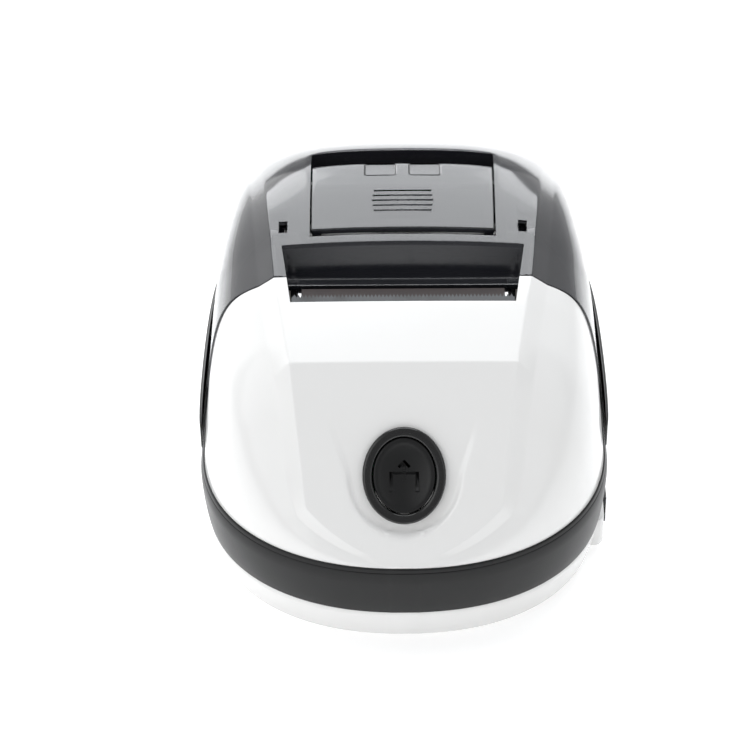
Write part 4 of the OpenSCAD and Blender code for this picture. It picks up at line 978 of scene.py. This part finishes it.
def pad_section(t):
    """Rounded section of a pad at its share t of the length."""
    y, s = PAD_Y + PAD_L * t, swell(t)
    x0, x1 = half_width(y) - PAD_R, half_width(y) + 0.1
    high, out = PAD_H * (0.55 + 0.45 * s), x0 + (x1 - x0) * (0.3 + 0.7 * s)
    r = min(PAD_R, out - x0 - 0.05)
    section = [(x0, -high), (x0, high)]
    turn = angles(0, 90, 5)
    section += [(out - r + r * math.sin(a), high - r + r * math.cos(a)) for a in turn]
    section += [(out - r + r * math.cos(a), -high + r - r * math.sin(a)) for a in turn]
    return [(x, y, PAD_Z + z) for x, z in section]


parts = []
for side in (-1, 1):
    shares = [0.5 - 0.5 * math.cos(math.pi * k / STATIONS) for k in range(STATIONS + 1)]
    sections = [pad_section(share) for share in shares]
    n = len(sections[0])
    points = [(side * x, y, z) for section in sections for x, y, z in section]
    ends = [tuple(range(n)), tuple(range(STATIONS * n, (STATIONS + 1) * n))[::-1]]
    parts.append((points, ends + ring_faces(STATIONS + 1, n)))
pads = new_piece("side_pads", gather(parts), "root", ["side_trims"])
round_off(pads, 0.15, 2, 50)
print("pad faces:", len(pads.data.polygons))

# %% [markdown]
# ## The bezel
# A dark gloss ring stands proud of the slope round the key. A torus would have a
# round section; the moulded one has a flat top with small radii. So its section is
# a list of insets and lifts, carried round the oval.
# %% Bezel
BEZEL_W, BEZEL_H, BEZEL_RIM = 22.7, 26.7, 2.6


def oval_rings(width, height, profile, ends, count=96):
    """Ovals on the slope from (inset, lift) pairs, and the faces between them."""
    points = [on_slope((width / 2 - inset) * math.cos(a), (height / 2 - inset) * math.sin(a), lift)
              for inset, lift in profile for a in circle(count)]
    return points, ring_faces(len(profile), count, ends)


ring = [(1.3, -2.6), (1.3, 0.0), (0.0, 0.0), (0.0, 0.45), (0.08, 0.68), (0.25, 0.86),
        (0.5, 0.97), (0.85, 1.0), (2.0, 0.9), (2.3, 0.84), (2.48, 0.7), (BEZEL_RIM, 0.4),
        (BEZEL_RIM, -2.6)]
shape = oval_rings(BEZEL_W, BEZEL_H, ring, "joined")
bezel = new_piece("bezel_ring", shape, "root", ["button_bezel"])
round_off(bezel, 0)
print("bezel faces:", len(bezel.data.polygons))

# %% [markdown]
# ## The feed key
# The oval key sits inside the bezel with a narrow gap and has a shallow dish for the
# fingertip. A brush in sculpt mode could press that dish in, but not evenly. Here it
# is made of ovals, each a bit lower than the one outside it.
# %% Feed key
KEY_GAP = 0.3
KEY_W, KEY_H = (size - 2 * BEZEL_RIM - 2 * KEY_GAP for size in (BEZEL_W, BEZEL_H))
DISH_EDGE, KEY_LIFT, KEY_SINK = 0.9, 0.5, 0.95


def dish_lift(inset):
    """Height of the key's face at an inset from its edge."""
    if inset < DISH_EDGE:
        return KEY_LIFT
    share = (inset - DISH_EDGE) / (KEY_W / 2 - DISH_EDGE)
    return KEY_LIFT - KEY_SINK * (1 - (1 - share) ** 2) * ease(share * 6) ** 0.5


ring = [(0.0, -3.0), (0.0, 0.1), (0.06, 0.28), (0.18, 0.42), (0.36, 0.49)]
stops = spread([0.6, DISH_EDGE, DISH_EDGE + 1.2, KEY_W / 2 - 0.3], 0.3)
ring += [(inset, dish_lift(inset)) for inset in stops]
key = new_piece("feed_key", oval_rings(KEY_W, KEY_H, ring, "capped"), "button", ["feed_button"])
print("key faces:", len(key.data.polygons))

# %% [markdown]
# ## The feed sign
# The sign on the key is a tray and an arrow that leaves it, sunk in the plastic. As
# a bump it would look flat from the side, so each stroke is a small block that is
# cut out of the key.
# %% Feed sign
TRAY = (3.05, 4.0, -4.6, 1.0)
TRAY_LIP, SHAFT, HEAD = 0.25, (0.42, -1.4, 3.2), ((1.5, 2.2), (-0.15, 4.0), 0.8)


def bar(u0, u1, v0, v1):
    """Corners of a straight stroke of the feed sign."""
    return [(u0, v0), (u1, v0), (u1, v1), (u0, v1)]


def slant(a, b, width):
    """Corners of a slanted stroke between two points."""
    along = Vector((b[0] - a[0], b[1] - a[1])).normalized() * width / 2
    off = Vector((-along.y, along.x))
    return [Vector(a) - off, Vector(b) - off, Vector(b) + off, Vector(a) + off]


x0, x1, y0, y1 = TRAY
strokes = [bar(-x1, -x0, y0, y1), bar(*TRAY), bar(-x0 - 0.01, x0 + 0.01, TRAY_LIP, y1)]
strokes.append(bar(-SHAFT[0], *SHAFT))
(tail_x, tail_y), (tip_x, tip_y), thick = HEAD
strokes += [slant((side * tail_x, tail_y), (side * tip_x, tip_y), thick) for side in (-1, 1)]
for stroke in strokes:
    cut(key, [sloped(stroke, -1.5, 2.0)])
round_off(key, 0.05, 1)
print("key faces with the sign:", len(key.data.polygons))

# %% [markdown]
# ## The key's stem
# Behind the key a round stem reaches down to the switch on the board. It is a plug
# on the slope like the others, because it moves along the same axis as the key.
# %% Key stem
STEM_D, STEM_LOW, STEM_HIGH = 4.4, -7.2, -2.9
stem = new_piece("key_stem", sloped(oval(STEM_D, STEM_D, 32), STEM_LOW, STEM_HIGH), "button")
round_off(stem, 0.1)
print("stem faces:", len(stem.data.polygons))

# %% [markdown]
# ## Fine edges on the CAD nodes that stay
# Screws, boards, sheet metal and sockets are shown as packed. Their meshes come in
# as loose triangles and may not be edited, so the work is left to modifiers: a Weld
# joins them, and a small Bevel gives the chunky ones an edge that catches the light.
# Wires, gears and the toothed tear bar keep their form.
# %% Modifiers on CAD nodes
THIN = {"head_springs", "lever_spring", "idler_gear", "platen_gear", "motor_pinion", "tear_bar"}
replaced = {"lower_base", "belt", "front_cover", "rear_frame", "side_trims", "lid",
            "open_lever", "button_bezel", "feed_button"}
kept = {name: node for name, node in nodes.items() if name not in replaced}
for name, node in kept.items():
    join = node.modifiers.new("join", "WELD")
    join.merge_threshold = 0.00001
    if name not in THIN:
        soft = node.modifiers.new("edges", "BEVEL")
        soft.width, soft.segments = 0.12 * MM, 2
        soft.limit_method, soft.angle_limit = "ANGLE", math.radians(35)
print("CAD nodes shown:", len(kept))

# %% [markdown]
# ## Sums of sockets
# Shader graphs could be drawn in the editor, or written socket by socket, which is
# long. Here a Wire wraps one output socket, and ordinary arithmetic on wires makes
# Math nodes, so a finish reads like its formula.
# %% Wire
class Wire:
    """One output socket that can be added, multiplied and so on."""

    def __init__(self, finish, socket):
        self.finish, self.socket = finish, socket

    def math(self, operation, first, second):
        return self.finish.node("Math", {"operation": operation}, {0: first, 1: second})

    def __add__(self, other):
        return self.math("ADD", self, other)

    def __mul__(self, other):
        return self.math("MULTIPLY", self, other)

    def __sub__(self, other):
        return self.math("SUBTRACT", self, other)

    def __rsub__(self, other):
        return self.math("SUBTRACT", other, self)

    __radd__, __rmul__ = __add__, __mul__

    def step(self, low, high):
        """Smooth step from 0 at low to 1 at high."""
        return self.finish.node("MapRange", {"interpolation_type": "SMOOTHSTEP"},
                                {0: self, 1: low, 2: high})


print("operators of a wire:", [name for name in vars(Wire) if name.startswith("__r")])

# %% [markdown]
# ## A finish
# Every surface of the printer is one Principled shader with a few textures behind
# it. Node groups could share them, but values in a group are hard to read. A Finish
# wraps one material: one method adds any node, one mixes two colours, and the
# others are short names for noise and bump in millimetres.
# %% Finish
class Finish:
    """A material with a Principled shader and the nodes that feed it."""

    def __init__(self, name, **constants):
        self.material = bpy.data.materials.new(name)
        self.material.use_nodes = True
        self.tree = self.material.node_tree
        self.tree.nodes.clear()
        skin = self.node("BsdfPrincipled", {}, {})
        self.shader = skin.socket.node
        self.node("OutputMaterial", {}, {"Surface": skin})
        self.feed(**constants)

    def put(self, socket, value):
        """Links a wire to a socket, or sets the socket to a value."""
        if isinstance(value, Wire):
            self.tree.links.new(value.socket, socket)
        else:
            socket.default_value = value

    def node(self, kind, settings, inputs, output=0):
        """Adds a node: its settings first, then its sockets; returns one output if any."""
        new = self.tree.nodes.new("ShaderNode" + kind)
        for key, value in settings.items():
            setattr(new, key, value)
        for key, value in inputs.items():
            self.put(new.inputs[key], value)
        return Wire(self, new.outputs[output]) if new.outputs else None

    def blend(self, mask, first, second):
        """Goes from one colour to another as the mask goes from 0 to 1."""
        return self.node("Mix", {"data_type": "RGBA"}, {0: mask, 6: first, 7: second}, 2)

    def place(self):
        """Object coordinates, in metres."""
        return self.node("TexCoord", {}, {}, "Object")

    def noise(self, size_mm, detail=3.0, stretch=None):
        """Noise with features of about that size; stretch squeezes it along axes."""
        where = self.place()
        if stretch:
            where = self.node("VectorMath", {"operation": "MULTIPLY"}, {0: where, 1: stretch})
        return self.node("TexNoise", {}, {"Vector": where, "Scale": 1 / (size_mm * MM),
                                          "Detail": detail})

    def bump(self, height, depth_mm, strength=1.0):
        """Normal from a height of 0 to 1 that stands for so many millimetres."""
        return self.node("Bump", {}, {"Height": height, "Distance": depth_mm * MM,
                                      "Strength": strength})

    def feed(self, **wires):
        """Gives values or wires to the shader's own sockets."""
        for key, value in wires.items():
            self.put(self.shader.inputs[key.replace("_", " ")], value)
        return self.material


def grey(value, warm=0.0, alpha=1.0):
    """A grey colour, a little warm or cold."""
    return (value * (1 + warm), value, value * (1 - warm), alpha)


print("a warm grey:", grey(0.5, 0.05))

# %% [markdown]
# ## White and black plastic
# Gloss ABS is never a mirror: the mould leaves a very fine orange peel, and handling
# leaves patches that are a little duller. Satin parts come from a spark-eroded
# mould, whose grain is a fine even noise. One roughness number would look like
# paint, so each finish has a fine noise in its bump and a broad one in its gloss.
# %% White, satin and gloss ABS
def gloss_shell():
    """White ABS of the cover and base."""
    f = Finish("white_gloss_abs", IOR=1.5, Coat_Weight=0.25, Coat_Roughness=0.06)
    peel, patches = f.noise(2.2, 2), f.noise(26, 4)
    worn = patches.step(0.5, 0.78)
    return f.feed(Base_Color=f.blend(worn * 0.4, (0.80, 0.798, 0.788, 1), (0.78, 0.775, 0.76, 1)),
                  Roughness=0.2 + worn * 0.05 + peel * 0.03,
                  Normal=f.bump(peel, 0.012, 0.5))


def satin_black(name, tone, rough, grain_mm):
    """Black ABS with a fine mould grain."""
    f = Finish(name, IOR=1.5, Specular_IOR_Level=0.25)
    grain, patches = f.noise(grain_mm, 4), f.noise(18, 3)
    rubbed = patches.step(0.52, 0.8)
    return f.feed(Base_Color=f.blend(rubbed * 0.7, grey(tone, -0.02), grey(tone * 1.5)),
                  Roughness=rough + grain * 0.08 - rubbed * 0.07,
                  Normal=f.bump(grain, 0.02, 0.6))


def gloss_black():
    """Gloss black ABS of the side pads and the bezel."""
    f = Finish("gloss_black_abs", IOR=1.5)
    peel, dust = f.noise(1.8, 2), f.noise(0.9, 5)
    specks = dust.step(0.66, 0.74)
    return f.feed(Base_Color=f.blend(specks * 0.35, grey(0.012), grey(0.05)),
                  Roughness=0.14 + specks * 0.2 + peel * 0.04,
                  Normal=f.bump(peel, 0.01, 0.5))


FINISHES = {"white_shell": gloss_shell(), "black_gloss": gloss_black(),
            "black_trim": satin_black("satin_black_abs", 0.010, 0.30, 0.35),
            "grey_plastic": satin_black("satin_grey_abs", 0.03, 0.42, 0.4)}
print("ABS finishes:", list(FINISHES))

# %% [markdown]
# ## Smoked plastic
# The lid is clear polycarbonate with a grey dye: what is under it shows only dimly.
# Real transmission would need many bounces of light and wall thickness everywhere.
# Here it is a dark glossy skin whose alpha lets part of the light through. Faces
# that turn to the front, such as the wall behind the label outlet, are made denser
# and get less of the clear coat: painted shade that keeps that wall dark.
# %% Smoked polycarbonate
def smoked_clear():
    """Smoked polycarbonate: clear grey plastic, glossy on top."""
    f = Finish("smoked_polycarbonate", IOR=1.58, Coat_IOR=1.72, Coat_Roughness=0.1)
    flow, haze = f.noise(34, 3), f.noise(7, 4)
    veil = haze.step(0.45, 0.8)
    # Faces turned to the front get more alpha and less clear coat: painted shade for the outlet's
    # back wall.
    facing = f.node("TexCoord", {}, {}, "Normal")
    wall = (0 - f.node("SeparateXYZ", {}, {0: facing}, "Y")).step(0.55, 0.85)
    return f.feed(Base_Color=f.blend(flow, (0.013, 0.014, 0.018, 1), (0.020, 0.021, 0.026, 1)),
                  Roughness=0.14 + veil * 0.07,
                  Alpha=0.74 + veil * 0.05 + wall * 0.18,
                  Coat_Weight=1 - wall * 0.9,
                  Normal=f.bump(flow, 0.03, 0.3))


FINISHES["smoke"] = smoked_clear()
print("nodes in the smoke:", len(FINISHES["smoke"].node_tree.nodes))

# %% [markdown]
# ## Rubber and acetal
# The platen and the feet are moulded rubber, which is matt and gathers pale dust.
# The two big gears and the bushes are natural acetal, milky and waxy. Subsurface
# light would suit it, but they are small and inside, so a hazy colour does the same.
# %% Rubber and acetal
def soft_rubber():
    """Moulded rubber: matt, with pale dust on it."""
    f = Finish("moulded_rubber", IOR=1.5)
    grain, dust = f.noise(0.5, 4), f.noise(6, 4)
    pale = dust.step(0.5, 0.75)
    return f.feed(Base_Color=f.blend(pale * 0.4, grey(0.018), grey(0.05, 0.05)),
                  Roughness=0.62 + grain * 0.14,
                  Normal=f.bump(grain, 0.04, 0.7))


def natural_acetal():
    """Milky acetal of the big gears and the bushes."""
    f = Finish("natural_acetal", IOR=1.48)
    haze, peel = f.noise(4, 3), f.noise(0.8, 2)
    return f.feed(Base_Color=f.blend(haze, (0.78, 0.76, 0.70, 1), (0.70, 0.67, 0.60, 1)),
                  Roughness=0.34 + haze * 0.12,
                  Normal=f.bump(peel, 0.01, 0.5))


FINISHES |= {"rubber": soft_rubber(), "acetal": natural_acetal()}
print("plastics and rubber:", len(FINISHES))

# %% [markdown]
# ## Metals
# Zinc-plated sheet is drawn through rollers, so its fine marks run one way. A
# picture of brushed steel would need unwrapped faces; noise that is squeezed hard
# along one axis needs none. A tarnish mask dulls it in patches.
# %% Metals
def rolled_metal(name, tone, warm, rough, stretch, mark=0.5):
    """Metal with marks along one direction and dull patches."""
    f = Finish(name)
    lines, patches = f.noise(mark, 4, stretch), f.noise(9, 4)
    dull = patches.step(0.45, 0.8)
    return f.feed(Base_Color=f.blend(dull, grey(tone, warm), grey(tone * 0.72, warm + 0.03)),
                  Metallic=1 - dull * 0.12,
                  Roughness=rough + lines * 0.14 + dull * 0.12,
                  Normal=f.bump(lines, 0.012, 0.5))


FINISHES |= {
    # The tear bar's steel gets a far darker tone than the other steel: painted shade for the dark
    # outlet it lies in.
    "tear steel": rolled_metal("blued_tear_steel", 0.10, -0.03, 0.34, (0.08, 1, 1)),
    "steel": rolled_metal("zinc_plated_steel", 0.62, 0.0, 0.24, (0.08, 1, 1)),
    "spring_steel": rolled_metal("spring_wire", 0.55, 0.02, 0.2, (1, 1, 1), 0.3),
    "nickel": rolled_metal("nickel_plate", 0.70, 0.04, 0.14, (1, 1, 1), 0.6),
    "aluminium": rolled_metal("anodised_aluminium", 0.74, 0.0, 0.3, (0.1, 1, 1), 0.4),
}
print("finishes with the metals:", len(FINISHES))

# %% [markdown]
# ## Board and print head
# Solder mask is glossy green, and the tracks under it show as slightly raised lines.
# They could be modelled, but most of the board is hidden, so a band texture lifts
# them in the bump. The print head is a glazed ceramic strip, mottled brown.
# %% Board and ceramic
def solder_mask():
    """Green board with raised tracks."""
    f = Finish("solder_mask_green", IOR=1.5)
    where = f.place()
    tracks = f.node("TexWave", {"wave_type": "BANDS", "bands_direction": "DIAGONAL"},
                    {"Vector": where, "Scale": 260.0, "Distortion": 1.5, "Detail": 1.0})
    grain = f.noise(1.2, 3)
    raised = tracks.step(0.55, 0.7)
    return f.feed(Base_Color=f.blend(raised, (0.008, 0.085, 0.035, 1), (0.018, 0.16, 0.06, 1)),
                  Roughness=0.32 + grain * 0.12,
                  Normal=f.bump(raised, 0.03, 0.6))


def glazed_ceramic():
    """Print head: mottled brown glaze with fine marks along it."""
    f = Finish("glazed_ceramic", IOR=1.35)
    mottled, fine = f.noise(3, 4), f.noise(0.4, 3, (0.2, 1, 1))
    return f.feed(Base_Color=f.blend(mottled, (0.045, 0.034, 0.032, 1), (0.030, 0.024, 0.024, 1)),
                  Roughness=0.40 + fine * 0.16,
                  Normal=f.bump(fine, 0.008, 0.5))


FINISHES |= {"circuit_board": solder_mask(), "head_ceramic": glazed_ceramic()}
print("materials:", len(bpy.data.materials))

# %% [markdown]
# ## Which finish goes where
# The CAD nodes already name their material, so they look it up in the table of
# finishes. The new pieces say theirs in a table of their own. It could be set piece
# by piece, but one table shows it at a glance.
# %% Finishes on pieces and nodes
own_slots = {
    "base_tub": "white_shell", "switch_boss": "white_shell", "belt_band": "black_trim",
    "nose_cover": "white_shell", "rear_collar": "black_trim", "rear_deck": "black_trim",
    "hinge_ears": "black_trim", "side_pads": "black_gloss", "lid_shell": "smoke",
    "lid_fittings": "smoke", "lever_panel": "smoke", "lever_grips": "smoke",
    "bezel_ring": "black_gloss", "feed_key": "black_trim", "key_stem": "black_trim",
}
for name, slot_name in own_slots.items():
    piece = bpy.data.objects[name]
    piece.data.materials.clear()
    piece.data.materials.append(FINISHES[slot_name])
slots = {part["node"]: part["material_slot"] for part in frame["record"]["subparts"]}
for name, node in kept.items():
    node.data.materials.clear()
    # The tear bar gets the steel that is darkened as painted shade.
    node.data.materials.append(FINISHES["tear steel" if name == "tear_bar" else slots[name]])
print("finishes:", len(FINISHES))

# %% [markdown]
# ## The floor
# The printer stands on a plain pale floor. A curved sweep would hide the horizon,
# but a large plane never shows it from above. It glows a little by itself, because
# a studio table that is lit from below keeps the foot of a white body bright.
# %% Floor
REACH = 6.0
floor_mesh = bpy.data.meshes.new("studio_floor")
corners = [(x * REACH, y * REACH, 0) for x, y in ((-1, -1), (1, -1), (1, 1), (-1, 1))]
floor_mesh.from_pydata(corners, [], [(0, 1, 2, 3)])
studio_floor = new_object("studio_floor", floor_mesh)
paint = Finish("studio_floor", IOR=1.4, Emission_Color=(1, 1, 1, 1), Emission_Strength=0.36)
cloud = paint.noise(300, 2)
floor_mesh.materials.append(paint.feed(
    Base_Color=paint.blend(cloud, grey(0.93), grey(0.91)), Roughness=0.75 + cloud * 0.1,
    Normal=paint.bump(cloud, 0.05, 0.1)))
print("floor half width:", REACH, "m")

# %% [markdown]
# ## Light
# Gloss plastic shows what it mirrors, so the panels are placed for the faces that
# reflect them; one lamp above would leave hard spots and black sides. A tall panel
# behind and above shines along the lid, whose roof acts as a dark mirror and so
# reads as light grey. Two walls at the sides give the flanks a soft sheen, and two
# panels in front fill the white slopes, the left one brighter than the right.
# %% Panels
def softbox(name, azimuth, elevation, distance, width, height, radiance, tint=(1, 1, 1)):
    """A rectangular area light that faces the printer, given by its brightness."""
    light = bpy.data.lights.new(name, "AREA")
    light.shape, light.size, light.size_y = "RECTANGLE", width, height
    light.energy, light.color = radiance * math.pi * width * height, tint
    lamp = new_object(name, light)
    a, e = math.radians(azimuth), math.radians(elevation)
    out = Vector((math.sin(a) * math.cos(e), -math.cos(a) * math.cos(e), math.sin(e)))
    lamp.location = out * distance + Vector((0, 0, 0.05))
    lamp.rotation_mode = "QUATERNION"
    lamp.rotation_quaternion = out.to_track_quat("Z", "Y")


PANELS = [("roof panel", -174, 56, 1.3, 1.4, 1.9, 3.1, (0.96, 0.98, 1.0)),
          ("left wall", -125, 24, 1.5, 2.1, 1.5, 1.0),
          ("right wall", 125, 24, 1.5, 2.1, 1.5, 0.45),
          ("left front panel", -44, 28, 1.6, 1.4, 1.0, 1.35),
          ("right front panel", 44, 28, 1.6, 1.1, 1.0, 0.6)]
for panel in PANELS:
    softbox(*panel)
world = bpy.data.worlds.new("studio")
bpy.context.scene.world = world
world.use_nodes = True
sky = world.node_tree.nodes["Background"]
sky.inputs[0].default_value, sky.inputs[1].default_value = (0.97, 0.98, 1.0, 1), 0.38

# %% [markdown]
# ## The camera
# A printer is mostly seen from above and in front. A long lens from 85 cm away and
# 42 degrees up keeps its sides nearly parallel; a wide lens close by would show the
# same outline with a swollen nose.
# %% Camera
ELEVATION, DISTANCE, ROLL = math.radians(42), 0.850, math.radians(-0.35)
aim = spot(0, 70, 45)
back_way = Vector((0, -math.cos(ELEVATION), math.sin(ELEVATION)))
camera = new_object("camera", bpy.data.cameras.new("camera"))
camera.location = aim + back_way * DISTANCE
camera.rotation_mode = "QUATERNION"
level = back_way.to_track_quat("Z", "Y")
camera.rotation_quaternion = level @ Matrix.Rotation(ROLL, 3, "Z").to_quaternion()
camera.data.lens, camera.data.sensor_width = 142.8, 36.0
camera.data.shift_x, camera.data.shift_y = -0.038, -0.021
camera.data.clip_start, camera.data.clip_end = 0.05, 50
bpy.context.scene.camera = camera
bpy.context.scene.view_settings.view_transform = "Standard"
print("camera at", tuple(round(v, 3) for v in camera.location))
